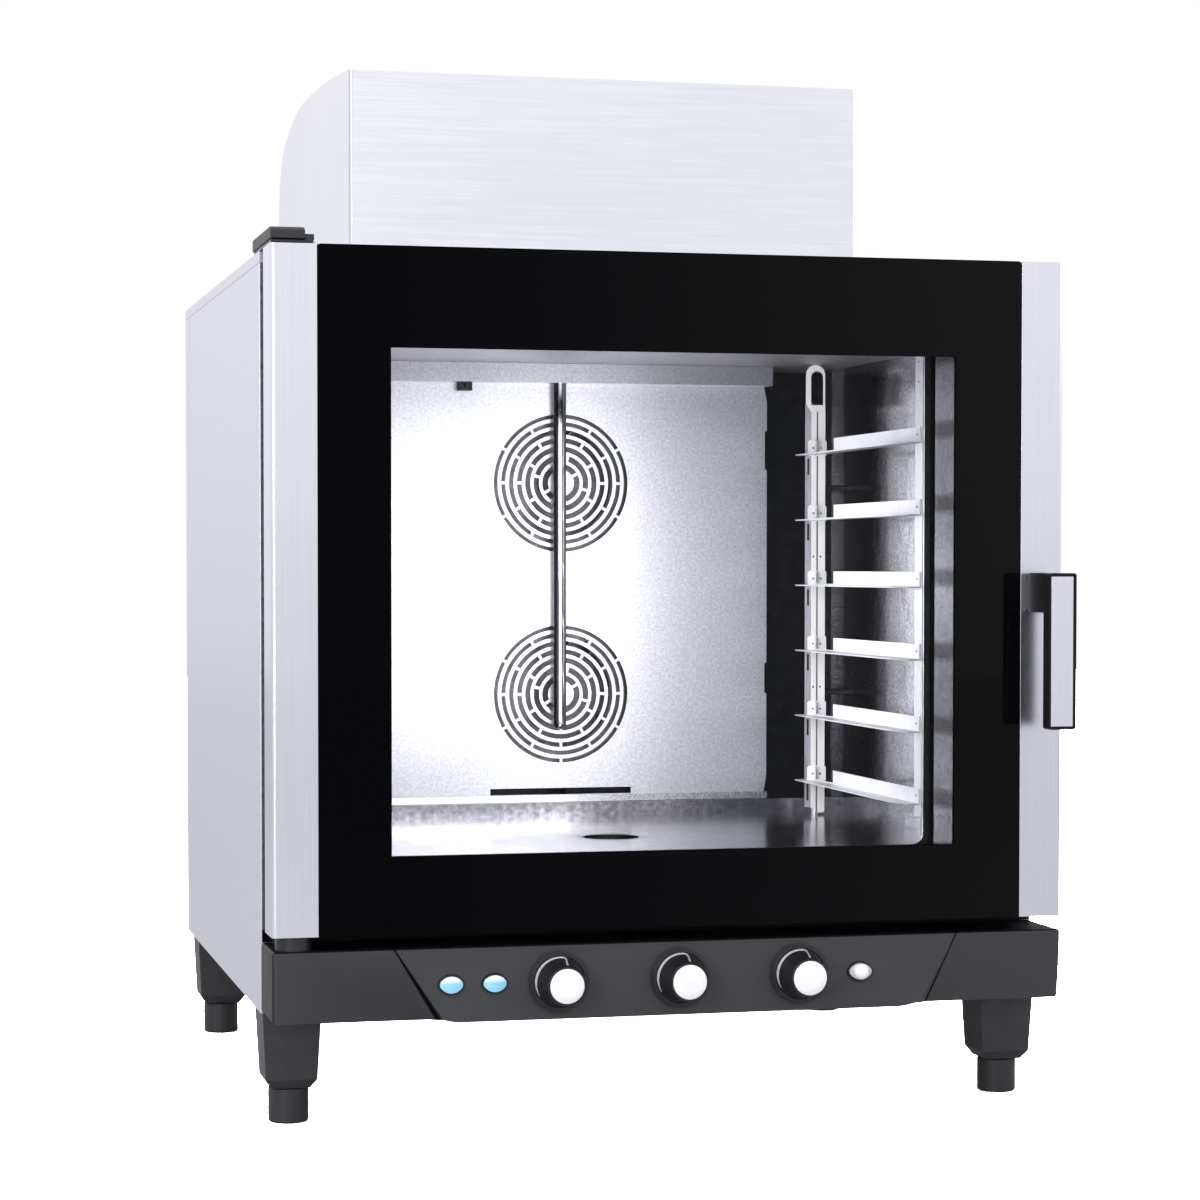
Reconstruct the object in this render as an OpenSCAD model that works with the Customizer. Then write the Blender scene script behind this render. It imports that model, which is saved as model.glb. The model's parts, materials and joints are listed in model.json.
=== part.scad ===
// Gas convection pastry oven for six trays, with a flue hood on its top
// Drawn from the door's front face: X to the right, Y into the oven, Z up from the floor

/* [Casing] */
// Width over the side panels
body_w = 860; // [850:5:900]
// Thickness of the casing's steel sheet
sheet = 1; // [0.8:0.1:1.5]
// Width of the folded edges of the side panels
fold_w = 12; // [8:1:16]
// Height of the top cover's lip over the side panels
lip_h = 12; // [8:1:16]
// Distance of the front frame behind the door's front face
frame_y = 85; // [82:1:95]
// Thickness of the stainless front frame
frame_t = 2; // [1.5:0.5:3]
// Space behind the chamber for the motors, up to the casing's rear edge
rear_space = 207; // [205:1:240]
// Distance of the back panel in front of the casing's rear edge
back_inset = 17; // [15:1:30]
// Gap between the mineral wool and the folds of the casing
wool_gap = 21; // [12:1:24]
// Gap between pieces that lie side by side
seat_gap = 0.3; // [0.2:0.05:0.4]

/* [Legs] */
// Height of the casing's underside above the floor
leg_h = 117; // [100:1:140]
// Height of the round foot below its leg block
foot_h = 37; // [25:1:50]
// Radius of the round foot
foot_r = 21.4; // [15:0.2:24]
// Width of a leg block at its top
leg_w = 62; // [56:1:70]
// How much narrower a leg block is at its foot
leg_taper = 9; // [4:1:14]
// Distance of the front legs behind the door's front face
leg_front_y = 107; // [90:1:125]
// Distance of the rear legs behind the door's front face
leg_rear_y = 719; // [640:1:760]
// Radius of the foot's threaded stem
foot_stem_r = 8; // [6:0.5:10]
// Length of the foot's stem inside the leg block
foot_stem_h = 60; // [45:1:66]

/* [Control panel] */
// Height of the control panel
panel_h = 75.5; // [70:0.5:90]
// Height of the fascia's lower edge above the casing's underside
panel_rise = 1.5; // [0:0.5:4]
// Wall of the panel moulding
panel_t = 3; // [2:0.5:4]
// Radius of the fascia's front and end corners
panel_r = 4; // [3:0.5:6]
// How much the fascia's right end draws in towards its lower edge
end_slant = 4; // [0:0.5:6]
// How far the raised middle stands out of the fascia at its lower edge
raise_t = 7; // [6:0.5:10]
// How far the raised middle reaches below the fascia's lower edge
raise_drop = 3.2; // [2:0.2:5]
// Distance of the raised middle's left end from the middle, at its top edge
raise_left_top = 305; // [290:1:320]
// Distance of the raised middle's left end from the middle, at its lower edge
raise_left_low = 269; // [264:1:286]
// Distance of the raised middle's right end from the middle, at its top edge
raise_right_top = 311; // [290:1:320]
// Distance of the raised middle's right end from the middle, at its lower edge
raise_right_low = 276; // [264:1:286]
// Height of the knobs' row above the casing's underside
row_h = 37.5; // [36:0.5:42]
// Distance between the knobs
knob_pitch = 131; // [110:1:136]
// Radius of a knob's skirt
knob_r = 26; // [20:0.5:27]
// Radius of a knob's front disc
knob_cap_r = 18; // [14:0.5:18]
// Length of a knob out of the panel
knob_len = 36.5; // [24:0.5:38]
// Radius of the dark ring round a knob
bezel_r = 30.5; // [29:0.5:32]
// Distance of the first lamp left of the middle
lamp_x = 245; // [220:1:250]
// Distance between the two lamps
lamp_pitch = 46; // [30:1:50]
// Distance of the push button right of the middle
button_x = 199; // [180:1:212]
// Half width of the eye-shaped lenses and of the push button
lens_w = 12; // [10:0.5:13]
// Half height of the lenses and of the push button
lens_h = 8.7; // [8.4:0.1:9.4]
// Width of the dark rim round a lens
rim_w = 1.4; // [1:0.1:2]
// Radius of the push button's dome
dome_r = 8; // [6:0.5:8]
// How far the push button goes in
button_travel = 2.5; // [1.5:0.5:3]

/* [Door] */
// Gap between the control panel and the door
door_gap = 14.5; // [12:0.5:20]
// Depth of the door's side profiles
profile_d = 54; // [50:1:56]
// Width of the door's side profiles
profile_w = 48; // [44:1:60]
// Wall of the side profiles
profile_t = 2.5; // [2:0.5:4]
// Thickness of the outer glass
glass_t = 5; // [4:0.5:6]
// Width of the clear window
window_w = 610; // [560:1:620]
// Height of the clear window
window_h = 522.5; // [480:0.5:530]
// Distance of the door's hinge axis from the casing's left side
hinge_x = 25; // [22:1:30]
// Distance of the hinge axis behind the door's front face
hinge_y = 22; // [20:1:28]
// Radius of the hinge pins
hinge_pin_r = 6; // [4:0.5:8]
// Radial clearance of the turning pins and shafts
run_gap = 0.08; // [0.05:0.01:0.1]

/* [Handle] */
// How far the handle stands out in front of the door
handle_proud = 65; // [55:1:75]
// Width of the handle bar
bar_w = 30.5; // [26:0.5:34]
// Thickness of the handle bar
bar_t = 17; // [14:0.5:20]
// Length of the handle bar
bar_len = 166; // [140:1:180]
// Height of the handle's stem
stem_h = 42; // [34:1:46]
// Distance of the bar's upper end below the door's upper edge
handle_drop = 335; // [300:1:380]
// Distance of the handle's middle from the casing's right side
handle_x = 26.5; // [24:0.5:30]

/* [Chamber] */
// Width of the chamber
cav_w = 714; // [700:1:730]
// Height of the chamber
cav_h = 553; // [545:1:560]
// Depth of the chamber behind the front frame
cav_d = 523; // [520:1:560]
// Height of the chamber's floor above the door's lower edge
cav_rise = 73; // [65:1:80]
// Distance of the chamber's roof below the door's upper edge
roof_drop = 81; // [78:1:100]
// Width of the mouth
mouth_w = 606; // [604:1:612]
// Corner radius of the mouth
mouth_r = 12; // [8:1:20]
// Thickness of the chamber's walls
cav_t = 1.5; // [1:0.1:2]
// Depth of the gasket in front of the frame
gasket_d = 18; // [14:1:18]
// Width of the gasket's foot
gasket_w = 12.5; // [10:0.5:14]
// Space for the fans behind the fan guard
fan_space = 70; // [68:1:80]
// Height of the step in the floor under the fan guard
step_h = 16; // [12:1:24]
// Radius of the drain cup in the floor
drain_r = 36; // [28:1:42]
// Distance of the drain behind the front frame
drain_y = 158; // [120:1:220]

/* [Racks] */
// Width of a tray
tray_w = 600; // [590:1:600]
// Number of tray levels
levels = 6; // [4:1:6]
// Distance between the tray levels
level_pitch = 80; // [70:1:82]
// Height of the lowest tray level above the floor
first_level = 42; // [38:1:60]
// Width of the ledge under a tray
ledge_w = 19; // [14:1:24]
// Height of a rail
rail_h = 18; // [14:1:24]
// Length of a rail
rail_len = 386; // [370:1:396]
// Thickness of the rack's sheet
rack_t = 1.5; // [1:0.1:2]

/* [Fans] */
// Height of the lower fan's axis above the floor
fan_low = 149; // [140:1:156]
// Distance of the upper fan's axis below the chamber's roof
fan_high = 145; // [141:1:150]
// Radius of an impeller
impeller_r = 92; // [80:1:95]
// Depth of an impeller's blades
blade_d = 44; // [36:1:46]
// Number of blades on an impeller
blades = 14; // [8:1:18]
// Half width of the fan guard
guard_w = 264; // [240:1:270]
// Thickness of the fan guard's sheet
guard_t = 1.5; // [1:0.1:2]
// Radius of the outermost ring of slots
grille_r = 82; // [76:1:86]
// Radius of the innermost ring of slots
grille_in_r = 20; // [16:1:24]
// Number of slot rings in a grille
rings = 7; // [5:1:7]
// Width of the bridges between the slots
bridge_w = 3.4; // [2.5:0.1:4.5]
// Radius of a fan's shaft
shaft_r = 6; // [5:0.5:7]

/* [Flue] */
// Width of the hood
hood_w = 587; // [560:1:620]
// Distance of the hood's middle left of the casing's middle
hood_off = 15.5; // [0:0.5:30]
// Distance of the hood's front behind the door's front face
hood_y = 245; // [230:1:300]
// Height of the hood's front edge above the top cover
hood_front_h = 219; // [180:1:240]
// How much the crown of the hood rises above its front edge
hood_crown = 17; // [10:0.5:24]
// Distance of the hood's highest line in front of its rear face
hood_fall = 234; // [215:1:250]
// Radius of the hood's falling part behind its highest line
hood_fall_r = 558; // [520:1:700]
// Radius of the hood's rear upper corner
hood_r = 90; // [70:1:110]
// Bend radius of the hood's upright front edges
hood_edge_r = 4; // [2:0.5:8]
// Radius of the flue pipe's outside
flue_r = 60; // [50:1:65]
// Wall of the flue pipe
flue_t = 1.5; // [1:0.5:2]
// Radius of the steam pipe
pipe_r = 7.8; // [6:0.2:9]
// Radius of the gas and water connections
port_r = 13.2; // [10:0.1:16]

/* [Hidden] */
$fn = 72;
eps = 0.01;

// Overall places
half_w = body_w / 2;
body_d = frame_y + frame_t + cav_d + rear_space;
door_h = cav_rise + cav_h + roof_drop;
whole_d = body_d + handle_proud;
front_shift = handle_proud - whole_d / 2;
panel_top = leg_h + panel_h;
door_z = panel_top + door_gap;
door_top = door_z + door_h;
side_top = door_top - lip_h;
frame_back = frame_y + frame_t;
back_y = body_d - back_inset;

// Chamber places
cav_z = door_z + cav_rise;
cav_top = cav_z + cav_h;
cav_y = frame_back;
cav_back_y = cav_y + cav_d;
guard_y = cav_back_y - fan_space;
step_y = guard_y - 10;
shelf_z = cav_z + step_h;
drain_x = -12;

// Door places
inner_glass_t = 4;
inner_front = frame_y - gasket_d - seat_gap - inner_glass_t;
inner_back = inner_front + inner_glass_t;
inner_w = cav_w - 14;
inner_low = cav_z - 40;
inner_high = cav_top + 37;
glass_w = body_w - 2 * profile_w - 2 * seat_gap;
hinge_ax = -half_w + hinge_x;
handle_ax = half_w - handle_x;
spindle_z = door_top - handle_drop - stem_h / 2;
spindle_r = 7;

// Rack places
rail_x = tray_w / 2 + 1.5;
post_x = rail_x + rack_t;
post_w = 13;
rail_y = cav_y + 8;
front_post_y = cav_y + 3;
front_post_d = 24;
rear_post_y = rail_y + rail_len - 13;
rear_post_d = 32;
post_low = cav_z + 29;
peg_r = 4;

// Fan places
fan_z = [cav_z + fan_low, cav_top - fan_high];
ring_step = (grille_r - grille_in_r) / (rings - 1);
impeller_back = cav_back_y - 10;
motor_y = cav_back_y + cav_t + 42;
motor_r = 58;
motor_d = 104;

// Heat exchanger and flue places
tube_r = 13;
tube_y = cav_back_y - 29;
header_h = 26;
header_low = shelf_z + 5;
header_high = cav_top - header_h - 9;
header_w = 200;
flue_x = -hood_off - 94;
flue_y = tube_y + 28 - flue_r;
duct_half = [30, 14];
hood_top = door_top + hood_front_h + hood_crown;
hood_left = -hood_off - hood_w / 2;
crown_y = body_d - hood_fall;
crown_r = ((crown_y - hood_y) * (crown_y - hood_y) + hood_crown * hood_crown) / (2 * hood_crown);
corner_y = body_d - hood_r;
corner_z = hood_top - hood_fall_r
    + sqrt((hood_fall_r - hood_r) * (hood_fall_r - hood_r) - (corner_y - crown_y) * (corner_y - crown_y));

// Control panel places
row_z = leg_h + row_h;
knob_x = [-knob_pitch, 0, knob_pitch];
knob_shaft_r = 3;
bezel_t = 3;
panel_low = leg_h + panel_rise;
raise_start = panel_top - 3.5;
raise_low = panel_low - raise_drop;
face_y = -raise_t;
lamp_xs = [-lamp_x, -lamp_x + lamp_pitch];
lamp_face = raised_y(row_z - lens_h - rim_w) - 0.8;
switch_y = frame_y - 33;

steel = [0.80, 0.81, 0.84];
bright = [0.90, 0.91, 0.94];
charcoal = [0.26, 0.26, 0.28];
black = [0.06, 0.06, 0.07];

module placed() {
    translate([0, front_shift, 0]) children();
}

module both_sides() {
    children();
    mirror([1, 0, 0]) children();
}

// A box given by its lowest and highest corners
module block(low, high) {
    translate(low) cube(high - low);
}

// A cylinder along Y from y0 to y1
module bar_y(r, x, z, y0, y1) {
    translate([x, y0, z]) rotate([-90, 0, 0]) cylinder(r = r, h = y1 - y0);
}

// A rectangle in X and Z with round corners, extruded along Y
module round_plate(half, z0, z1, r, y0, y1) {
    translate([0, y1, 0]) rotate([90, 0, 0]) linear_extrude(y1 - y0) union() {
        translate([-half + r, z0]) square([2 * half - 2 * r, z1 - z0]);
        translate([-half, z0 + r]) square([2 * half, z1 - z0 - 2 * r]);
        for (x = [-half + r, half - r], z = [z0 + r, z1 - r])
            translate([x, z]) circle(r);
    }
}

// A folded side panel, open towards the inside
module side_panel(side) {
    color(steel) placed() mirror([side < 0 ? 0 : 1, 0, 0]) difference() {
        block([-half_w, frame_back, leg_h], [-half_w + fold_w, body_d, side_top - seat_gap]);
        block([-half_w + sheet, frame_back + sheet, leg_h + sheet],
            [-half_w + fold_w + 1, body_d - sheet, side_top - seat_gap - sheet]);
    }
}

module top_cover() {
    color(steel) placed() difference() {
        block([-half_w, frame_back, side_top], [half_w, body_d, door_top]);
        block([-half_w + sheet, frame_back + sheet, side_top - 1],
            [half_w - sheet, body_d - sheet, door_top - sheet]);
        translate([flue_x, flue_y, side_top]) cylinder(r = flue_r + 2, h = lip_h + 1);
    }
}

// Back panel with two fields of louvre slots and the holes for the connections
module back_panel() {
    slot_count = 9;
    color(steel) placed() difference() {
        block([-half_w + fold_w + seat_gap, back_y - sheet, leg_h + 2 * sheet + seat_gap],
            [half_w - fold_w - seat_gap, back_y, side_top - seat_gap - sheet]);
        for (side = [-1, 1], i = [0:slot_count - 1])
            block([side * 200 - 90, back_y - 5, 420 + 22 * i], [side * 200 + 90, back_y + 5, 426 + 22 * i]);
        bar_y(port_r - 2 + seat_gap, gas_x, gas_z, back_y - 5, back_y + 5);
        bar_y(port_r - 2 + seat_gap, water_x, water_z, back_y - 5, back_y + 5);
        bar_y(drain_pipe_r + seat_gap, drain_x, drain_z, back_y - 5, back_y + 5);
        bar_y(gland_r + seat_gap, gland_x, gland_z, back_y - 5, back_y + 5);
    }
}

module base_pan() {
    rim = 18;
    color(steel) placed() difference() {
        block([-half_w + fold_w + seat_gap, frame_back + seat_gap, leg_h],
            [half_w - fold_w - seat_gap, back_y - sheet - seat_gap, leg_h + rim]);
        block([-half_w + fold_w + seat_gap + sheet, frame_back + seat_gap + sheet, leg_h + 2 * sheet],
            [half_w - fold_w - seat_gap - sheet, back_y - 2 * sheet - seat_gap, leg_h + rim + 1]);
        for (i = [-4:4]) block([i * 60 - 4, 330, leg_h - 1], [i * 60 + 4, 450, leg_h + 5]);
        bar_y(drain_pipe_r + seat_gap, drain_x, drain_z, back_y - 30, back_y);
        block([drain_x - drain_pipe_r - seat_gap, back_y - 30, drain_z],
            [drain_x + drain_pipe_r + seat_gap, back_y, leg_h + rim + 1]);
    }
}

module front_frame() {
    color(bright) placed() difference() {
        block([-half_w + sheet, frame_y, panel_top + seat_gap], [half_w - sheet, frame_back, side_top]);
        round_plate(mouth_w / 2, cav_z, cav_top, mouth_r, frame_y - 1, frame_back + 1);
    }
}

// Front face of the raised middle at a height: flush near the top, furthest out at the lower edge
function raised_y(z) = -raise_t * (raise_start - z) / (raise_start - raise_low);

// Lower corner of the raised middle, where it swings out below the fascia's edge
function raised_corner(side, low) = [for (p = [[14, 0], [20, 0.38], [26, 0.78], [33, 1]])
    [side * (low - p[0]), panel_low - p[1] * raise_drop]];

// Wedge of material to cut off, which leaves a sloped end on the raised middle
module end_cut(side, top, low) {
    lean = atan((top - low) / (panel_top - panel_low));
    translate([side * top, 0, panel_top]) rotate([0, side * lean, 0]) translate([0, 0, -110])
        linear_extrude(130) polygon([[0, 0], [side * 60, 0], [side * 60, -20], [-side * 29, -20]]);
}

// Raised middle of the fascia: a wedge with sloped ends
module raised_middle() {
    spare = 12;
    right = raised_corner(1, raise_right_low);
    outline = concat([[-raise_left_top - spare, panel_top], [-raise_left_low - spare, panel_low]],
        raised_corner(-1, raise_left_low), [for (i = [len(right) - 1:-1:0]) right[i]],
        [[raise_right_low + spare, panel_low], [raise_right_top + spare, panel_top]]);
    difference() {
        intersection() {
            rotate([90, 0, 90]) translate([0, 0, -half_w]) linear_extrude(body_w)
                polygon([[panel_t, raise_start], [0, raise_start],
                    [-raise_t, raise_low], [panel_t, raise_low]]);
            translate([0, panel_t, 0]) rotate([90, 0, 0])
                linear_extrude(raise_t + panel_t + 1) polygon(outline);
        }
        end_cut(-1, raise_left_top, raise_left_low);
        end_cut(1, raise_right_top, raise_right_low);
    }
}

// Front view of the fascia, with a right end that draws in
module fascia_outline() {
    r = panel_r;
    low_end = half_w - end_slant;
    polygon([[-half_w + r, panel_low], [low_end - r, panel_low], [low_end, panel_low + r],
        [half_w, panel_top - r], [half_w - r, panel_top], [-half_w + r, panel_top],
        [-half_w, panel_top - r], [-half_w, panel_low + r]]);
    for (p = [[-half_w + r, panel_low + r], [low_end - r, panel_low + r], [half_w - r, panel_top - r],
        [-half_w + r, panel_top - r]]) translate(p) circle(r);
}

// A rectangle in X and Y whose two front corners are round, extruded along Z
module round_front(x0, x1, y0, y1, r, z0, z1) {
    translate([0, 0, z0]) linear_extrude(z1 - z0) union() {
        translate([x0, y0 + r]) square([x1 - x0, y1 - y0 - r]);
        translate([x0 + r, y0]) square([x1 - x0 - 2 * r, y1 - y0]);
        for (x = [x0 + r, x1 - r]) translate([x, y0 + r]) circle(r);
    }
}

// An eye-shaped prism along Y in the knobs' row: two arcs that meet in blunt tips
module eye(half_width, half_height, x, y0, y1) {
    reach = half_width + 0.8;
    r = (reach * reach + half_height * half_height) / (2 * half_height);
    intersection() {
        bar_y(r, x, row_z + r - half_height, y0, y1);
        bar_y(r, x, row_z - r + half_height, y0, y1);
        bar_y(half_width, x, row_z, y0, y1);
    }
}

// Moulded fascia: a long box open to the rear, with its raised middle and flat seats for the knobs' rings
module control_panel() {
    color(charcoal) placed() difference() {
        union() {
            intersection() {
                translate([0, frame_y - seat_gap, 0]) rotate([90, 0, 0])
                    linear_extrude(frame_y - seat_gap) fascia_outline();
                round_front(-half_w, half_w, 0, frame_y, panel_r, leg_h - 10, panel_top + 10);
            }
            raised_middle();
            for (x = knob_x) bar_y(bezel_r + 1, x, row_z, face_y, panel_t);
        }
        block([-half_w + panel_t, panel_t, panel_low + panel_t],
            [half_w - panel_t - end_slant, frame_y + 1, panel_top - panel_t]);
        for (x = knob_x) bar_y(knob_shaft_r + 1, x, row_z, face_y - 1, panel_t + 1);
        for (x = concat(lamp_xs, button_x))
            eye(lens_w + rim_w + seat_gap, lens_h + rim_w + seat_gap, x, -raise_t - 1, panel_t + 1);
    }
}

// Dark rings round the knobs, fixed to the raised middle
module knob_bezels() {
    color(black) placed() for (x = knob_x) difference() {
        union() {
            bar_y(bezel_r, x, row_z, face_y - bezel_t + 1, face_y);
            bar_y(bezel_r - 1, x, row_z, face_y - bezel_t, face_y);
        }
        bar_y(knob_r + 1, x, row_z, face_y - bezel_t - 1, face_y - 1);
        bar_y(knob_shaft_r + 1, x, row_z, face_y - bezel_t - 1, face_y + 1);
    }
}

// Dark rims of the two lamps and of the push button
module panel_rims() {
    color(black) placed() for (x = concat(lamp_xs, button_x)) difference() {
        eye(lens_w + rim_w, lens_h + rim_w, x, lamp_face, panel_t);
        eye(lens_w + seat_gap, lens_h + seat_gap, x, lamp_face - 1, panel_t + 1);
    }
}

// Domed lenses of the two lamps, each with its holder behind the panel
module lamp_lenses() {
    dome = 26;
    front = lamp_face - 4;
    color([0.6, 0.85, 0.95]) placed() for (x = lamp_xs) union() {
        intersection() {
            eye(lens_w, lens_h, x, front, panel_t + 2);
            translate([x, front + dome, row_z]) union() {
                sphere(r = dome);
                rotate([-90, 0, 0]) cylinder(r = dome, h = dome);
            }
        }
        bar_y(lens_h - 2, x, row_z, panel_t + 1, switch_y - seat_gap);
    }
}

// Bodies of the three rotary switches on their mounting rail, bored for the knobs' shafts
module switch_block() {
    color([0.75, 0.72, 0.62]) placed() difference() {
        union() {
            block([-lamp_x - 24, switch_y, row_z - 17], [button_x + 24, switch_y + 2, row_z + 17]);
            for (x = knob_x) block([x - 20, switch_y, row_z - 20], [x + 20, frame_y - 2, row_z + 20]);
            for (side = [-1, 1])
                block([side * 70 - 6, panel_t, row_z - 6], [side * 70 + 6, switch_y, row_z + 6]);
        }
        for (x = knob_x) bar_y(knob_shaft_r + run_gap, x, row_z, switch_y - 1, frame_y - 8);
    }
}

// Knob with a skirt, a cone and a shaft that runs in its switch
module knob(i) {
    x = knob_x[i];
    back = face_y - bezel_t + 0.4;
    tip = face_y - knob_len;
    color(black) placed() translate([x, back, row_z]) rotate([90, 0, 0]) union() {
        rotate_extrude() polygon([[0, 0], [knob_r + 0.3, 0], [knob_r + 0.3, 1.6], [knob_r - 1.5, 4],
            [knob_cap_r + 2.6, back - tip - 2], [knob_cap_r + 1.6, back - tip],
            [knob_cap_r + 0.4, back - tip], [knob_cap_r + 0.4, back - tip - 3], [0, back - tip - 3]]);
        translate([0, 0, back - frame_y + 10]) cylinder(r = knob_shaft_r, h = frame_y - 10 - back + 2);
    }
}

// Pale disc let into the knob's front
module knob_cap(i) {
    tip = face_y - knob_len;
    color([0.93, 0.93, 0.95]) placed() translate([knob_x[i], tip + 3, row_z]) rotate([90, 0, 0])
        rotate_extrude() polygon([[0, 0], [knob_cap_r, 0], [knob_cap_r, 3.2], [knob_cap_r - 0.8, 3.8],
            [knob_cap_r * 0.6, 4.2], [0, 4.4]]);
}

// Eye-shaped push button with a round dome and its plunger
module start_button() {
    front = lamp_face - 3.4;
    play = 0.1;
    color([0.9, 0.9, 0.92]) placed() union() {
        eye(lens_w - play, lens_h - play, button_x, front, panel_t);
        translate([button_x, front, row_z]) rotate([90, 0, 0]) rotate_extrude()
            polygon([[0, -1], [dome_r, -1],
            [dome_r, 3.4], [dome_r - 1.2, 4.8], [dome_r * 0.6, 6], [0, 6.6]]);
        bar_y(3, button_x, row_z, panel_t - 1, switch_y - button_travel - 0.6);
    }
}

// Chamber floor with the drain hole and the step that lifts the fan space
module cavity_floor() {
    t = cav_t;
    half = cav_w / 2 - seat_gap;
    color(bright) placed() difference() {
        rotate([90, 0, 90]) translate([0, 0, -half]) linear_extrude(2 * half)
            polygon([[cav_y + seat_gap, cav_z - t], [step_y + t, cav_z - t], [step_y + t, shelf_z - t],
                [cav_back_y - seat_gap, shelf_z - t], [cav_back_y - seat_gap, shelf_z], [step_y, shelf_z],
                [step_y, cav_z], [cav_y + seat_gap, cav_z]]);
        translate([drain_x, frame_y + drain_y, cav_z - 5]) cylinder(r = drain_r - 4, h = 10);
        translate([0, tube_y, shelf_z - 5]) cylinder(r = feed_r + seat_gap, h = 10);
    }
}

module cavity_roof() {
    color(bright) placed() difference() {
        block([-cav_w / 2 - cav_t, cav_y + seat_gap, cav_top],
            [cav_w / 2 + cav_t, cav_back_y + cav_t, cav_top + cav_t]);
        block([flue_x - duct_half[0] - seat_gap, tube_y - duct_half[1] - seat_gap, cav_top - 1],
            [flue_x + duct_half[0] + seat_gap, tube_y + duct_half[1] + seat_gap, cav_top + 5]);
        translate([pipe_x, pipe_y, cav_top - 1]) cylinder(r = pipe_r + seat_gap, h = 5);
    }
}

module cavity_side(side) {
    color(bright) placed() mirror([side < 0 ? 0 : 1, 0, 0]) union() {
        block([-cav_w / 2 - cav_t, cav_y + seat_gap, cav_z - cav_t],
            [-cav_w / 2, cav_back_y - seat_gap, cav_top - seat_gap]);
        block([-cav_w / 2, guard_y, shelf_z + seat_gap], [-cav_w / 2 + 8, guard_y + 40, cav_top - seat_gap]);
    }
}

module cavity_back() {
    color(bright) placed() difference() {
        block([-cav_w / 2 - cav_t, cav_back_y, cav_z - cav_t],
            [cav_w / 2 + cav_t, cav_back_y + cav_t, cav_top - seat_gap]);
        for (z = fan_z) bar_y(shaft_r + 4, 0, z, cav_back_y - 1, cav_back_y + 5);
    }
}

// Drain cup under the floor and its pipe to the back
drain_z = leg_h + 20;
drain_pipe_r = 15;
// Disc with two rings of holes, held by the cup's wall
module strainer() {
    hole_r = 2.6;
    difference() {
        cylinder(r = drain_r - 1, h = 1.2);
        for (ring = [[9, 6], [19, 12]], i = [0:ring[1] - 1]) rotate(i * 360 / ring[1])
            translate([ring[0], 0, -1]) cylinder(r = hole_r, h = 4, $fn = 24);
    }
}

module drain_pipe() {
    cup_z = cav_z - cav_t - seat_gap;
    y = frame_y + drain_y;
    color(bright) placed() translate([drain_x, y, 0]) union() {
        difference() {
            union() {
                translate([0, 0, cup_z - 14]) cylinder(r = drain_r, h = 14);
                translate([0, 0, drain_z]) cylinder(r = drain_pipe_r, h = cup_z - 14 - drain_z);
                translate([0, 0, drain_z]) sphere(r = drain_pipe_r);
                bar_y(drain_pipe_r, 0, drain_z, 0, back_y + 2 - y);
                bar_y(drain_pipe_r + 1.5, 0, drain_z, back_y + 1 - y, body_d - 1 - y);
            }
            translate([0, 0, cup_z - 12]) cylinder(r = drain_r - 2, h = 20);
            translate([0, 0, drain_z]) cylinder(r = drain_pipe_r - 2, h = 300);
            bar_y(drain_pipe_r - 2, 0, drain_z, 0, body_d);
            translate([0, 0, drain_z]) sphere(r = drain_pipe_r - 2);
        }
        translate([0, 0, cup_z - 5]) strainer();
    }
}

// Steam pipe in front of the guard, from the roof down to the lower fan
pipe_x = -4.5;
pipe_y = guard_y - 13;
pipe_low = fan_z[0] - 43;
feed_z = cav_top + 34;
module steam_pipe() {
    bend = 20;
    color(bright) placed() union() {
        translate([pipe_x, pipe_y, pipe_low + pipe_r])
            cylinder(r = pipe_r, h = feed_z - bend - pipe_low - pipe_r);
        translate([pipe_x, pipe_y, pipe_low + pipe_r]) sphere(r = pipe_r);
        translate([pipe_x, pipe_y + bend, feed_z - bend]) rotate([0, -90, 180])
            rotate_extrude(angle = 90) translate([bend, 0]) circle(pipe_r);
        bar_y(pipe_r, pipe_x, feed_z, pipe_y + bend, water_y - seat_gap);
        bar_y(3, pipe_x, pipe_low + 60, pipe_y + 2, guard_y - seat_gap);
    }
}

// Solenoid valve that feeds the steam pipe, with its threaded inlet at the back
water_x = pipe_x;
water_z = feed_z;
water_y = motor_y + 30;
module water_valve() {
    color([0.55, 0.56, 0.6]) placed() union() {
        block([water_x - 18, water_y, water_z - 15], [water_x + 18, back_y - sheet - seat_gap, water_z + 15]);
        bar_y(port_r - 2, water_x, water_z, back_y - sheet - 1, back_y + 2);
        bar_y(port_r, water_x, water_z, back_y + 1, body_d - 1);
        translate([water_x, (water_y + back_y) / 2, water_z + 15]) cylinder(r = 12, h = 22);
    }
}

module temperature_probe() {
    top = shelf_top - guard_t - seat_gap;
    probe_h = 10;
    color(black) placed() union() {
        block([-130, guard_y - 16, top - probe_h], [-114, guard_y - seat_gap, top]);
        bar_y(2, -122, top - probe_h / 2, guard_y - 24, guard_y - 15);
    }
}

// Slots of one grille: rings of arcs, their bridges turned from ring to ring
function slot_radius(k) = grille_in_r + ring_step * k + 0.15 * k * (rings - 1 - k);
function slot_width(k) = 7.4 - 2.6 * k / (rings - 1);
module grille_slots() {
    for (k = [0:rings - 1]) {
        r = slot_radius(k);
        w = slot_width(k);
        bridges = k == 0 ? 2 : (k == 1 ? 4 : 6);
        difference() {
            circle(r + w / 2);
            circle(r - w / 2);
            for (j = [0:bridges - 1]) rotate(j * 360 / bridges + (k % 2) * 180 / bridges + 30)
                translate([0, -bridge_w / 2]) square([grille_r + 10, bridge_w]);
        }
    }
}

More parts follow.
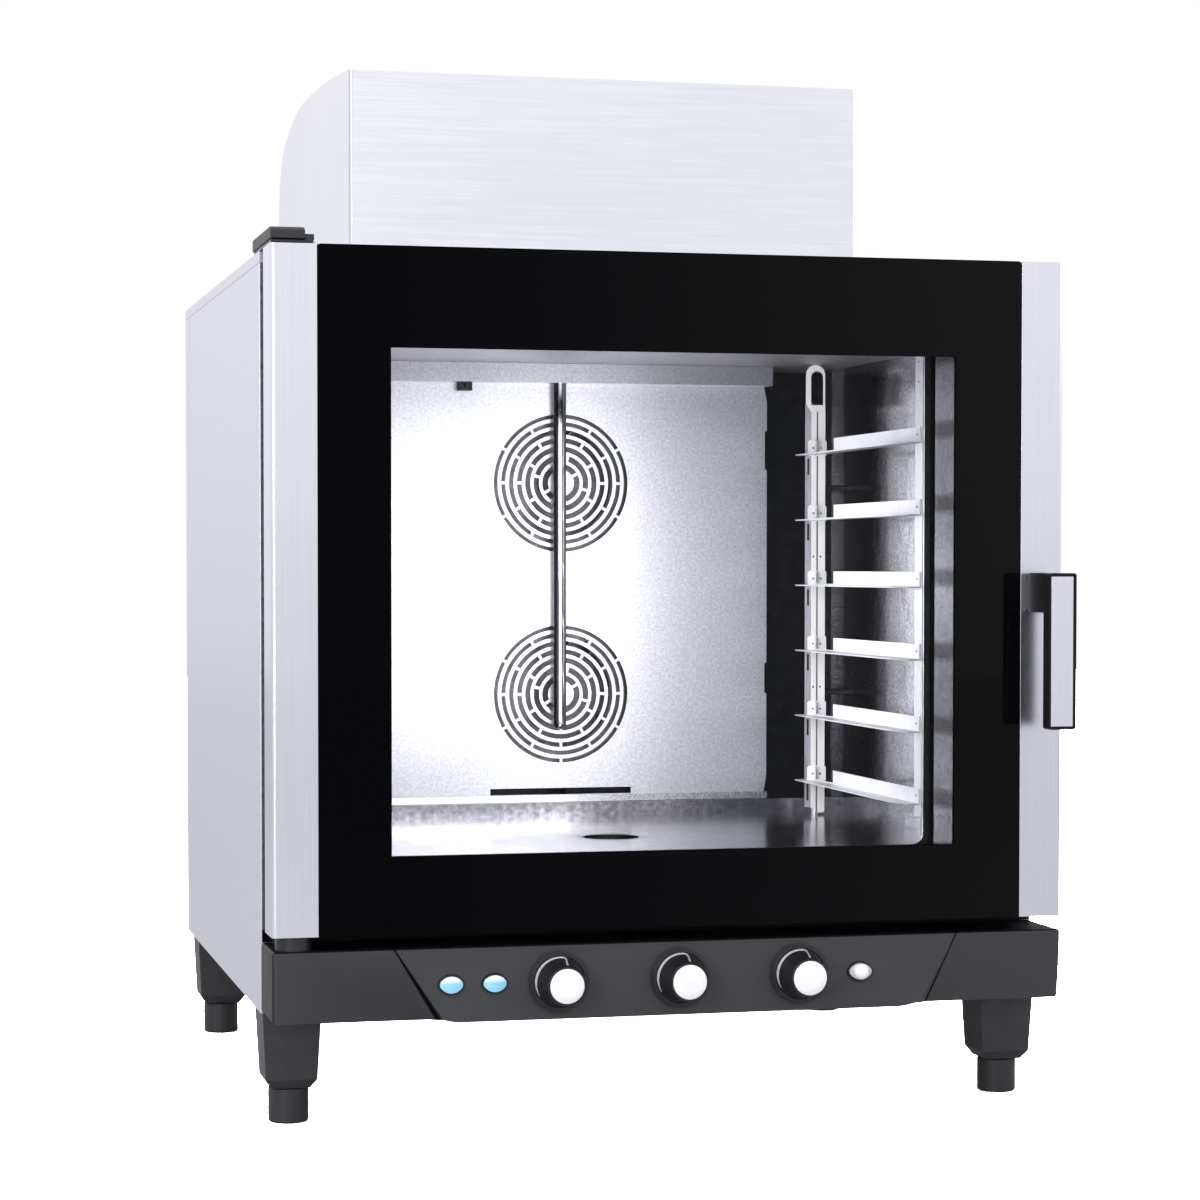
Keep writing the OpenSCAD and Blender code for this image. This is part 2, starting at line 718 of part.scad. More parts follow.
// Fan guard: plate with two slotted grilles, a shelf and a rim under the roof, and a lower hem
shelf_top = cav_top - 22;
module fan_guard() {
    reach = 25;
    notch = 2.6;
    low = shelf_z + seat_gap;
    plate_half = [[guard_w - 4, low], [guard_w - 4, low + 4], [guard_w, low + 28], [guard_w, fan_z[0] - 2],
        [guard_w - notch, fan_z[0] - 1], [guard_w - notch, fan_z[0] + 36], [guard_w, fan_z[0] + 37],
        [guard_w, fan_z[1] + 18], [guard_w - notch, fan_z[1] + 19], [guard_w - notch, fan_z[1] + 66],
        [guard_w, fan_z[1] + 67], [guard_w, shelf_top - 20], [guard_w - 4, shelf_top - 1]];
    half = len(plate_half);
    other = [for (i = [0:half - 1]) [-plate_half[half - 1 - i][0], plate_half[half - 1 - i][1]]];
    color(bright) placed() difference() {
        union() {
            translate([0, guard_y + guard_t, 0]) rotate([90, 0, 0]) linear_extrude(guard_t) difference() {
                polygon(concat(plate_half, other));
                for (z = fan_z) translate([0, z]) grille_slots();
                translate([-89, low + 9]) square([178, 8]);
            }
            block([-guard_w, guard_y - 2, low], [guard_w, guard_y + guard_t, low + 8]);
            block([-guard_w, guard_y - reach, shelf_top - guard_t], [guard_w, guard_y + guard_t, shelf_top]);
            block([-guard_w, guard_y - reach, shelf_top - guard_t],
                [guard_w, guard_y - reach + guard_t, cav_top - seat_gap]);
        }
        translate([pipe_x, pipe_y, shelf_top - 5]) cylinder(r = pipe_r + seat_gap, h = 10);
    }
}

// Two fan motors behind the chamber's back, each bored for its impeller's shaft
module fan_motors() {
    color([0.35, 0.36, 0.4]) placed() for (z = fan_z) difference() {
        union() {
            bar_y(motor_r, 0, z, motor_y, motor_y + motor_d);
            bar_y(motor_r - 12, 0, z, motor_y + motor_d - eps, motor_y + motor_d + 14);
            block([-72, cav_back_y + cav_t, z - 50], [-66, motor_y + 40, z + 50]);
            block([66, cav_back_y + cav_t, z - 50], [72, motor_y + 40, z + 50]);
            block([-70, motor_y + 10, z - 12], [70, motor_y + 40, z + 12]);
        }
        bar_y(shaft_r + run_gap, 0, z, motor_y - 1, motor_y + 56);
    }
}

// Radial impeller: hub, back disc, curved blades, front ring and shaft
module impeller(i) {
    z = fan_z[i];
    hub_r = 17;
    color([0.62, 0.63, 0.66]) placed() translate([0, impeller_back, z]) rotate([90, 0, 0]) {
        cylinder(r = impeller_r, h = 1.5);
        cylinder(r = hub_r, h = blade_d - 8);
        translate([0, 0, impeller_back - motor_y - 50])
            cylinder(r = shaft_r, h = motor_y + 50 - impeller_back + 2);
        for (k = [0:blades - 1]) rotate(k * 360 / blades) translate([impeller_r - 30, 0, 1.5 - eps])
            rotate(-35) translate([0, -0.75, 0]) cube([30, 1.5, blade_d - 3 + 2 * eps]);
        translate([0, 0, blade_d - 1.5]) difference() {
            cylinder(r = impeller_r, h = 1.5);
            translate([0, 0, -1]) cylinder(r = impeller_r - 26, h = 4);
        }
    }
}

// Gas path behind the guard: two headers joined by fire tubes beside the fans
feed_r = 22;
module heat_exchanger() {
    color([0.5, 0.5, 0.52]) placed() difference() {
        union() {
            for (z = [header_low, header_high])
                block([-header_w, tube_y - tube_r - 2, z], [header_w, tube_y + tube_r + 2, z + header_h]);
            for (side = [-1, 1], x = [118, 150, 182]) translate([side * x, tube_y, header_low + header_h - 1])
                cylinder(r = tube_r, h = header_high - header_low - header_h + 2);
            translate([0, tube_y, gas_z + 36]) cylinder(r = feed_r, h = header_low - gas_z - 35);
        }
        translate([0, tube_y, gas_z + 30]) cylinder(r = feed_r - 2, h = header_low - gas_z - 20);
    }
}

// Flue: a flat duct from the upper header through the roof, and the round pipe up to the hood's crown
flue_low = cav_top + 6;
flue_top = hood_top - 6;
module flue_pipe() {
    w = duct_half[0];
    d = duct_half[1];
    z = header_high + header_h;
    color(bright) placed() difference() {
        union() {
            translate([flue_x, flue_y, flue_low]) cylinder(r = flue_r, h = flue_top - flue_low);
            block([flue_x - w, tube_y - d, z], [flue_x + w, tube_y + d, flue_low + 1]);
        }
        translate([flue_x, flue_y, flue_low + 2]) cylinder(r = flue_r - flue_t, h = flue_top);
        block([flue_x - w + flue_t, tube_y - d + flue_t, z - 1],
            [flue_x + w - flue_t, tube_y + d - flue_t, flue_low + 3]);
    }
}

// Side view of the hood in Y and Z, drawn in by an inset: a long front arc, a falling arc and a round corner
module hood_profile(inset) {
    low = inset > 0 ? door_top - 1 : door_top;
    turn_y = crown_y + (corner_y - crown_y) * (hood_fall_r - inset) / (hood_fall_r - hood_r);
    overlap = 50;
    intersection() {
        translate([hood_y + inset, low]) square([crown_y - hood_y - inset, hood_top - low + overlap]);
        translate([crown_y, hood_top - crown_r]) circle(crown_r - inset, $fn = 1440);
    }
    intersection() {
        translate([crown_y - overlap, low]) square([turn_y - crown_y + overlap, hood_top - low + overlap]);
        translate([crown_y, hood_top - hood_fall_r]) circle(hood_fall_r - inset, $fn = 720);
    }
    translate([hood_y + inset, low]) square([body_d - hood_y - 2 * inset, corner_z - low]);
    translate([corner_y, corner_z]) circle(hood_r - inset, $fn = 144);
}

module hood_solid(inset) {
    left = hood_left + inset;
    right = hood_left + hood_w - inset;
    intersection() {
        translate([left, 0, 0]) rotate([90, 0, 90]) linear_extrude(right - left) hood_profile(inset);
        round_front(left, right, hood_y + inset, body_d + 1, hood_edge_r - inset, door_top - 2, hood_top + 1);
    }
}

module hood_shell() {
    slots = 8;
    color(steel) placed() difference() {
        hood_solid(0);
        hood_solid(sheet);
        translate([flue_x, flue_y, hood_top - 60]) cylinder(r = flue_r + seat_gap, h = 100);
        for (i = [0:slots - 1]) block([-hood_off - 180, body_d - 10, door_top + 26 + 13 * i],
            [-hood_off + 180, body_d + 10, door_top + 31 + 13 * i]);
    }
}

// Burner tube with its venturi, under the heat exchanger's feed
burner_r = 30;
burner_left = -150;
burner_right = 60;
module burner() {
    stand_w = 14;
    venturi_r = 12;
    color([0.6, 0.6, 0.63]) placed() union() {
        translate([burner_left, tube_y, gas_z]) rotate([0, 90, 0])
            cylinder(r = burner_r, h = burner_right - burner_left);
        translate([burner_right, tube_y, gas_z]) rotate([0, 90, 0])
            cylinder(r = venturi_r, h = gas_x - valve_w / 2 - burner_right);
        translate([0, tube_y, gas_z]) cylinder(r = feed_r - 2 - seat_gap, h = burner_r + 16);
        for (x = [burner_left + 2 * stand_w, burner_right - 2 * stand_w])
            block([x - stand_w / 2, tube_y - stand_w, leg_h + 2 * sheet],
                [x + stand_w / 2, tube_y + stand_w, gas_z - burner_r + 8]);
    }
}

// Gas valve and its threaded connection at the back
gas_x = 140;
gas_z = leg_h + 72;
valve_w = 80;
module gas_valve() {
    half = valve_w / 2;
    rear = tube_y + 50;
    low = gas_z - 25;
    high = gas_z + 35;
    coil_r = 14;
    color([0.72, 0.66, 0.42]) placed() union() {
        block([gas_x - half + seat_gap, tube_y - 30, low], [gas_x + half, rear, high]);
        translate([gas_x, rear - half, high]) cylinder(r = coil_r, h = 22);
        bar_y(port_r - 2, gas_x, gas_z, rear - eps, back_y + 2);
        bar_y(port_r, gas_x, gas_z, back_y + 1, body_d - 1);
        block([gas_x - half / 2, rear - half - 20, leg_h + 2 * sheet],
            [gas_x + half / 2, rear - half + 20, low]);
    }
}

// Entry of the supply lead, in the back panel
gland_x = -half_w + 130;
gland_z = leg_h + 60;
gland_r = 10;
module cable_gland() {
    color(black) placed() difference() {
        union() {
            bar_y(gland_r, gland_x, gland_z, back_y - 18, back_y + 4);
            bar_y(gland_r + 5, gland_x, gland_z, back_y, back_y + 5);
            bar_y(gland_r + 2, gland_x, gland_z, back_y + 5 - eps, back_y + 15);
            bar_y(gland_r + 5, gland_x, gland_z, back_y - 12, back_y - sheet - 0.05);
        }
        bar_y(6, gland_x, gland_z, back_y - 30, back_y + 30);
    }
}

// Mineral wool on the sides, the roof and the back of the chamber
module insulation() {
    z0 = cav_z;
    z1 = cav_top + cav_t + seat_gap;
    x0 = cav_w / 2 + cav_t + seat_gap;
    thick = half_w - fold_w - wool_gap - x0;
    rear = cav_back_y + cav_t + 30;
    color([0.85, 0.82, 0.7]) placed() {
        both_sides() block([-x0 - thick, cav_y + 2, z0], [-x0, cav_back_y, z1 + 20]);
        difference() {
            block([-x0 + seat_gap, cav_y + 2, z1], [x0 - seat_gap, rear, z1 + 20]);
            translate([flue_x, flue_y, z1 - 1]) cylinder(r = flue_r + 1, h = 60);
            translate([pipe_x, pipe_y, z1 - 1]) cylinder(r = pipe_r + 3, h = 60);
        }
        difference() {
            block([-x0, cav_back_y + cav_t + seat_gap, z0], [x0, rear, cav_top]);
            for (z = fan_z) block([-74, cav_back_y, z - 52], [74, cav_back_y + 60, z + 52]);
        }
    }
}

// Rubber seal round the mouth, with a lip that narrows towards the door
module door_gasket() {
    half = mouth_w / 2 + seat_gap;
    z0 = cav_z - seat_gap;
    z1 = cav_top + seat_gap;
    mid = frame_y - gasket_d * 0.5;
    tip = frame_y - gasket_d;
    color(black) placed() {
        for (part = [[gasket_w, mid, frame_y], [gasket_w * 0.65, mid - 4.5, mid],
            [gasket_w * 0.42, tip, mid - 4.5]])
            difference() {
                round_plate(half + part[0], z0 - part[0], z1 + part[0], mouth_r + part[0], part[1], part[2]);
                round_plate(half, z0, z1, mouth_r, part[1] - 1, part[2] + 1);
            }
    }
}

// Moulded corner cover over the upper hinge
module hinge_cap() {
    rear = 140;
    w = 36;
    color([0.2, 0.2, 0.22]) placed() union() {
        translate([-half_w, 0, 0]) rotate([90, 0, 90]) linear_extrude(w)
            polygon([[-1, door_top + 4.5], [rear, door_top + 3.5],
                [rear, door_top + 16.5], [4, door_top + 16.5],
                [-1, door_top + 13]]);
    }
}

// Upper hinge plate on the top cover, with its pin down into the door
module hinge_plate_top() {
    low = door_top + seat_gap;
    color([0.1, 0.1, 0.11]) placed() union() {
        translate([-half_w + 1, 2, low]) linear_extrude(2.8)
            polygon([[0, 0], [43, 0], [48, 20], [48, 105], [36, 130], [0, 130]]);
        translate([hinge_ax, hinge_y, door_top - 16]) cylinder(r = hinge_pin_r, h = 17);
    }
}

// Lower hinge pin with the boss that the door stands on
module hinge_pin_bottom() {
    color([0.1, 0.1, 0.11]) placed() union() {
        translate([hinge_ax, hinge_y, panel_top]) cylinder(r = 19, h = door_gap - seat_gap);
        translate([hinge_ax, hinge_y, panel_top]) cylinder(r = hinge_pin_r, h = door_gap + 16);
        block([hinge_ax - 14, hinge_y, panel_top], [hinge_ax + 14, frame_y, panel_top + 8]);
    }
}

// Catch plate on the front frame, beside the path of the door's cam
module latch_keeper() {
    x = handle_ax - 22;
    color(bright) placed() {
        block([x - 14, frame_y - 2, spindle_z - 26], [x + 14, frame_y, spindle_z + 26]);
        block([x - 12, frame_y - 14, spindle_z - 22], [x - 8, frame_y - 2, spindle_z + 22]);
        bar_y(4, x - 10, spindle_z + 30, frame_y - 14, frame_y);
    }
}

// Tapered leg blocks, bored for the stems of the feet
module leg_block(x, y) {
    low = foot_h + seat_gap;
    low_half = leg_w / 2 - leg_taper / 2;
    outline = [[-leg_w / 2, leg_h - low], [-low_half - 1, 10], [-low_half + 6, 0], [low_half - 6, 0],
        [low_half + 1, 10], [leg_w / 2, leg_h - low]];
    translate([x, y, low]) difference() {
        intersection() {
            translate([0, leg_w, 0]) rotate([90, 0, 0]) linear_extrude(2 * leg_w) polygon(outline);
            rotate([90, 0, 90]) translate([0, 0, -leg_w]) linear_extrude(2 * leg_w) polygon(outline);
        }
        translate([0, 0, -1]) cylinder(r = foot_stem_r + run_gap, h = leg_h - low - 3);
    }
}

leg_x = half_w - leg_w / 2;
module leg_blocks() {
    color([0.2, 0.2, 0.22]) placed() for (x = [-leg_x, leg_x], y = [leg_front_y, leg_rear_y]) leg_block(x, y);
}

// Round screw-in foot
module foot(x, y) {
    color([0.2, 0.2, 0.22]) placed() translate([x, y, 0]) rotate_extrude() polygon([[0, 0], [foot_r - 1.5, 0],
        [foot_r, 1.5], [foot_r, foot_h - 1], [foot_r - 2, foot_h], [foot_stem_r, foot_h],
        [foot_stem_r, foot_h + foot_stem_h], [0, foot_h + foot_stem_h]]);
}

module door_outer_glass() {
    color([0.05, 0.05, 0.06, 0.9]) placed()
        round_plate(glass_w / 2, door_z, door_top, 4, 0, glass_t);
}

module door_inner_glass() {
    color([0.7, 0.8, 0.85, 0.35]) placed()
        round_plate(inner_w / 2, inner_low, inner_high, 5, inner_front, inner_back);
}

// Side profile of the door: an aluminium channel open towards the glass
module door_profile(side) {
    r = 5;
    w = profile_w;
    d = profile_d;
    color([0.84, 0.85, 0.9]) placed() mirror([side < 0 ? 0 : 1, 0, 0])
    translate([-half_w, 0, door_z]) difference() {
        linear_extrude(door_h) difference() {
            union() {
                translate([r, 0]) square([w - r, d]);
                translate([0, r]) square([w, d - r]);
                translate([r, r]) circle(r);
            }
            translate([profile_t, profile_t]) square([w, d - 2 * profile_t]);
        }
        if (side > 0) translate([body_w / 2 - handle_ax, -1, spindle_z - door_z]) rotate([-90, 0, 0])
            cylinder(r = spindle_r + 0.5, h = 80);
    }
}

// Upper and lower rails of the door with the hinge bushes
module door_rails() {
    half = body_w / 2 - profile_w - seat_gap;
    rail = 18;
    low_y = glass_t + seat_gap;
    color([0.3, 0.3, 0.33]) placed() {
        for (z = [door_z, door_top - rail]) difference() {
            block([-half, low_y, z], [half, profile_d, z + rail]);
            block([-half - 1, low_y + 2, z + (z == door_z ? 2 : -1)],
                [half + 1, profile_d - 2, z + (z == door_z ? rail + 1 : rail - 2)]);
        }
        for (z = [door_z, door_top - 17]) difference() {
            union() {
                translate([hinge_ax, hinge_y, z]) cylinder(r = hinge_pin_r + 5.5, h = 17);
                block([hinge_ax + hinge_pin_r + 2, hinge_y - 9, z + (z == door_z ? 2 : 0)],
                    [-half + 3, hinge_y + 9, z + 16]);
            }
            translate([hinge_ax, hinge_y, z - 1]) cylinder(r = hinge_pin_r + run_gap, h = 19);
        }
    }
}

// Black inner frame of the door, which carries the inner glass in its rebate
module door_rear_frame() {
    left = hinge_ax + 9;
    right = half_w - 8;
    lip = 9;
    color([0.08, 0.08, 0.09]) placed() difference() {
        translate([(left + right) / 2, 0, 0])
            round_plate((right - left) / 2, door_z + 6, door_top - 6, 8, profile_d + seat_gap, inner_back);
        round_plate(inner_w / 2 + seat_gap, inner_low - seat_gap, inner_high + seat_gap, 5,
            inner_front - seat_gap, inner_back + 1);
        round_plate(inner_w / 2 - lip, inner_low + lip, inner_high - lip, 5, profile_d - 5, inner_front + 1);
        bar_y(spindle_r + 0.5, handle_ax, spindle_z, profile_d, inner_back + 1);
    }
}

// Cantilever handle: a bar on a stem at its upper end, and the spindle through the door
module handle_lever() {
    x0 = handle_ax - bar_w / 2;
    x1 = handle_ax + bar_w / 2;
    z1 = spindle_z + stem_h / 2;
    front = -handle_proud;
    back = front + bar_t;
    pocket = 2;
    color([0.13, 0.13, 0.15]) placed() difference() {
        union() {
            translate([0, back, 0]) rotate([90, 0, 0]) linear_extrude(bar_t) union() {
                translate([x0 + 3, z1 - bar_len]) square([bar_w - 6, bar_len]);
                translate([x0, z1 - bar_len + 3]) square([bar_w, bar_len - 6]);
                for (x = [x0 + 3, x1 - 3], z = [z1 - bar_len + 3, z1 - 3]) translate([x, z]) circle(3);
            }
            translate([handle_ax, 0, 0]) rotate([0, 0, 90]) rotate([90, 0, 0])
                translate([0, 0, -bar_w / 2 + 1]) linear_extrude(bar_w - 2) polygon([[back - 1, z1 - stem_h],
                [-seat_gap - 4, z1 - stem_h], [-seat_gap, z1 - stem_h + 4], [-seat_gap, z1 - 8],
                [-seat_gap - 2.5, z1 - 2.5], [-seat_gap - 8, z1], [back - 1, z1]]);
            bar_y(spindle_r, handle_ax, spindle_z, -2, inner_back + 6);
        }
        block([x0 + pocket, front - 1, z1 - bar_len + pocket], [x1 - pocket, front + 2, z1 - pocket]);
    }
}

module handle_insert() {
    x0 = handle_ax - bar_w / 2 + 2 + 0.1;
    x1 = handle_ax + bar_w / 2 - 2 - 0.1;
    z1 = spindle_z + stem_h / 2;
    color([0.85, 0.86, 0.92]) placed()
        block([x0, -handle_proud, z1 - bar_len + 2.1], [x1, -handle_proud + 2, z1 - 2.1]);
}

// Cam on the spindle's inner end
module latch_cam() {
    y0 = inner_back + 0.4;
    color(bright) placed() difference() {
        union() {
            bar_y(13, handle_ax, spindle_z, y0, y0 + 5);
            translate([handle_ax, y0 + 5, spindle_z]) rotate([90, 0, 0]) linear_extrude(5)
                polygon([[-9, 9], [9, 9], [13, 0], [6, -26], [-6, -26], [-13, 0]]);
        }
        bar_y(spindle_r + 0.02, handle_ax, spindle_z, y0 - 1, y0 + 8);
    }
}

// Rack posts: folded channels that stand on pegs, the rear ones with a looped top
module rack_post(y0, depth, high) {
    x0 = post_x;
    x1 = post_x + post_w;
    t = rack_t;
    block([x0, y0, post_low], [x0 + t, y0 + depth, high]);
    block([x0, y0, post_low], [x1, y0 + t, high]);
    block([x0, y0 + depth - t, post_low], [x1, y0 + depth, high]);
    translate([(x0 + x1) / 2, y0 + depth / 2, cav_z + seat_gap])
        cylinder(r = peg_r, h = post_low - cav_z + 4);
    block([x0, y0, post_low], [x1, y0 + depth, post_low + t]);
    for (z = [cav_z + 150, cav_top - 150]) translate([x0 + t / 2, y0 + depth / 2, z]) rotate([0, 90, 0])
        cylinder(r = 3, h = cav_w / 2 - seat_gap - x0 - t / 2);
}

module rack_side_posts() {
    x0 = post_x;
    x1 = post_x + post_w;
    loop_z = cav_top - 49;
    loop_top = cav_top - 10;
    mid = (x0 + x1) / 2;
    rack_post(front_post_y, front_post_d, cav_top - 9);
    difference() {
        rack_post(rear_post_y, rear_post_d, loop_z);
        block([mid - 1, rear_post_y - 1, post_low + 5], [mid + 1, rear_post_y + 0.8, loop_z + 1]);
    }
    for (i = [0:levels - 1]) block([x0, rear_post_y - 1, cav_z + first_level + i * level_pitch],
        [x1 + 2, rear_post_y + eps, cav_z + first_level + i * level_pitch + rail_h]);
    translate([0, rear_post_y + rack_t, 0]) rotate([90, 0, 0]) linear_extrude(rack_t) difference() {
        union() {
            translate([x0, loop_z - 10]) square([post_w, loop_top - post_w / 2 - loop_z + 10]);
            translate([(x0 + x1) / 2, loop_top - post_w / 2]) circle(post_w / 2);
        }
        translate([x0 + 2, loop_z + 2]) square([post_w - 4, loop_top - post_w - loop_z]);
    }
}

module rack_posts() {
    color(bright) placed() both_sides() rack_side_posts();
}

// One side's rails: an L section at each level, notched in front of the rear post
module rack_rails(side) {
    notch_w = 67;
    color(bright) placed() mirror([side < 0 ? 1 : 0, 0, 0]) for (i = [0:levels - 1]) {
        z = cav_z + first_level + i * level_pitch;
        end_y = rail_y + rail_len;
        difference() {
            block([rail_x, rail_y, z], [rail_x + rack_t, rear_post_y + rear_post_d, z + rail_h]);
            block([rail_x - 1, rear_post_y - 10 - notch_w, z + 3],
                [rail_x + rack_t + 1, rear_post_y - 10, z + rail_h + 1]);
        }
        translate([0, 0, z]) linear_extrude(rack_t)
            polygon([[rail_x + eps, rail_y], [rail_x - ledge_w + 6, rail_y],
            [rail_x - ledge_w + 2, rail_y + 30], [rail_x - ledge_w, rail_y + 34], [rail_x - ledge_w, end_y],
            [rail_x + eps, end_y]]);
    }
}

side_panel(-1);  // side_panel_left
side_panel(1);  // side_panel_right
top_cover();
back_panel();
base_pan();
front_frame();
control_panel();
knob_bezels();
panel_rims();
lamp_lenses();
switch_block();
gas_valve();
burner();
heat_exchanger();
flue_pipe();
hood_shell();
cavity_floor();
cavity_roof();
cavity_side(-1);  // cavity_side_left
cavity_side(1);  // cavity_side_right
cavity_back();
drain_pipe();
steam_pipe();
water_valve();
temperature_probe();
fan_guard();
fan_motors();
rack_posts();
rack_rails(-1);  // rack_rails_left
rack_rails(1);  // rack_rails_right
insulation();
door_gasket();
hinge_cap();
hinge_plate_top();
hinge_pin_bottom();
latch_keeper();
leg_blocks();
cable_gland();
door_outer_glass();
door_inner_glass();
door_profile(-1);  // door_profile_left
door_profile(1);  // door_profile_right
door_rails();
door_rear_frame();
handle_lever();
handle_insert();
latch_cam();
knob(0);  // timer_knob
knob_cap(0);  // timer_knob_cap
knob(1);  // temperature_knob
knob_cap(1);  // temperature_knob_cap
knob(2);  // steam_knob
knob_cap(2);  // steam_knob_cap
start_button();
impeller(1);  // impeller_upper
impeller(0);  // impeller_lower
foot(-leg_x, leg_front_y);  // foot_front_left
foot(leg_x, leg_front_y);  // foot_front_right
foot(-leg_x, leg_rear_y);  // foot_rear_left
foot(leg_x, leg_rear_y);  // foot_rear_right
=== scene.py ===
import json
import math

import bmesh
import bpy
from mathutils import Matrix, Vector


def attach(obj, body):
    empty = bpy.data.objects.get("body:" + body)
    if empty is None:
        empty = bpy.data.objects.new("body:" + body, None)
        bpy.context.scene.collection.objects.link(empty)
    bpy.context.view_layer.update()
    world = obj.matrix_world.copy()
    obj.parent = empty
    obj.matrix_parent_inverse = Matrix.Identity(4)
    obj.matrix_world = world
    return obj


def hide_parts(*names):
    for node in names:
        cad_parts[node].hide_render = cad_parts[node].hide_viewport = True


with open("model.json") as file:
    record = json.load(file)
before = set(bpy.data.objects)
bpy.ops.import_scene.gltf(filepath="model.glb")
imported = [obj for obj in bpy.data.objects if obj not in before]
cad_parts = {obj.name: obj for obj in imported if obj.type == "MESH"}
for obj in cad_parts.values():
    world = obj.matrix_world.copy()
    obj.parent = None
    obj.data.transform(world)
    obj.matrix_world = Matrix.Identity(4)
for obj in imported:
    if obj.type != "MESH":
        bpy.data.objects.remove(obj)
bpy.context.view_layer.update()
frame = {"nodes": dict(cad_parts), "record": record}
nodes = frame["nodes"]
record = frame["record"]
bodyOf = {n: body for body, members in record["behaviour"]["bodies"].items() for n in members}
print("frame loaded:", len(nodes), "nodes")

frontY = -0.376    # the door's front face in this frame


def at(x, y, z):
    return Vector((x / 1000, y / 1000 + frontY, z / 1000))


# Camera, from the fit to the photograph
cameraSettings = {"place": (-0.82292, -3.31697, 0.58772), "yaw": 13.272, "pitch": -1.748,
                  "lens": 87.28, "shift": (0.03377, 0.04475)}


def makeCamera(s):
    cam = bpy.data.cameras.new("camera")
    cam.sensor_width = 36
    cam.lens = s["lens"]
    cam.shift_x, cam.shift_y = s["shift"]
    cam.clip_end = 50
    ob = bpy.data.objects.new("camera", cam)
    bpy.context.scene.collection.objects.link(ob)
    yaw, pitch = math.radians(s["yaw"]), math.radians(s["pitch"])
    ahead = Vector((math.sin(yaw) * math.cos(pitch), math.cos(yaw) * math.cos(pitch), math.sin(pitch)))
    ob.rotation_euler = ahead.to_track_quat("-Z", "Y").to_euler()
    ob.location = s["place"]
    bpy.context.scene.camera = ob


makeCamera(cameraSettings)
print("camera made")


# Height of the lowest rail, pitch and number of the rack's levels, in mm
rackLevels = (322, 80, 6)


# Node helpers
def step(tree, kind, links=(), **values):
    # one node with its values and its incoming links
    node = tree.nodes.new(kind)
    for key, value in values.items():
        if key in node.bl_rna.properties:
            setattr(node, key, value)
        else:
            node.inputs[key.replace("_", " ")].default_value = value
    for source, target in links:
        tree.links.new(source, node.inputs[target])
    return node


def addNode(tree, kind, **values):
    return step(tree, "ShaderNode" + kind, **values)


def feed(tree, socket, value):
    # a link where the value comes from another node, and a plain value where it doesn't
    if hasattr(value, "links"):
        tree.links.new(value, socket)
    else:
        socket.default_value = value


def axesOf(tree, vector):
    return step(tree, "ShaderNodeSeparateXYZ", [(vector, 0)]).outputs


def combined(tree, operation, *values, clamp=False):
    # the result of a Math node that takes numbers and other nodes' results
    node = addNode(tree, "Math", operation=operation, use_clamp=clamp)
    for socket, value in zip(node.inputs, values):
        feed(tree, socket, value)
    return node.outputs[0]


def mapTo(tree, value, low, high, toLow, toHigh):
    ranged = addNode(tree, "MapRange", clamp=True)
    for socket, v in zip(ranged.inputs, (value, low, high, toLow, toHigh)):
        feed(tree, socket, v)
    return ranged.outputs[0]


def mixColours(tree, mask, a, b):
    mix = addNode(tree, "Mix", data_type="RGBA")
    feed(tree, mix.inputs[0], mask)
    for socket, value in ((mix.inputs[6], a), (mix.inputs[7], b)):
        feed(tree, socket, value if hasattr(value, "links") else (*value[:3], 1))
    return mix.outputs[2]


# Shared node groups
def newGroup(name, inputs, outputs):
    group = bpy.data.node_groups.new(name, "ShaderNodeTree")
    for label, kind, value in inputs:
        socket = group.interface.new_socket(name=label, in_out="INPUT", socket_type="NodeSocket" + kind)
        if value is not None:
            socket.default_value = value
    for label in outputs:
        group.interface.new_socket(name=label, in_out="OUTPUT", socket_type="NodeSocketFloat")
    return group, group.nodes.new("NodeGroupInput").outputs, group.nodes.new("NodeGroupOutput").inputs


def makeBrushGroup():
    # fine lines drawn out along one axis, with slow clouds beside them
    group, entry, leave = newGroup(
        "brushedLines",
        [("Vector", "Vector", None), ("Stretch", "Vector", (6, 500, 500)), ("Cloud size", "Float", 5)],
        ("Lines", "Clouds"))
    stretch = step(group, "ShaderNodeVectorMath", [(entry["Vector"], 0), (entry["Stretch"], 1)],
                   operation="MULTIPLY")
    lines = step(group, "ShaderNodeTexNoise", [(stretch.outputs[0], "Vector")],
                 Scale=1, Detail=3, Roughness=0.7)
    clouds = step(group, "ShaderNodeTexNoise", [(entry["Vector"], "Vector"), (entry["Cloud size"], "Scale")],
                  Detail=3, Roughness=0.55)
    group.links.new(lines.outputs[0], leave["Lines"])
    group.links.new(clouds.outputs[0], leave["Clouds"])
    return group


def makeMottleGroup():
    # spots of rolled sheet in three sizes of noise, the middle one with a contrast
    group, entry, leave = newGroup(
        "rolledMottle", [("Vector", "Vector", None), ("Scale", "Float", 60), ("Contrast", "Float", 1)],
        ("Spots", "Fine", "Broad"))
    sizes = {"Spots": (1, 4), "Fine": (4.5, 2), "Broad": (0.12, 2)}
    for label, (factor, detail) in sizes.items():
        size = combined(group, "MULTIPLY", entry["Scale"], factor)
        noise = step(group, "ShaderNodeTexNoise", [(entry["Vector"], "Vector"), (size, "Scale")],
                     Detail=detail, Roughness=0.6).outputs[0]
        if label == "Spots":
            centred = combined(group, "SUBTRACT", noise, 0.5)
            noise = combined(group, "MULTIPLY_ADD", centred, entry["Contrast"], 0.5, clamp=True)
        group.links.new(noise, leave[label])
    return group


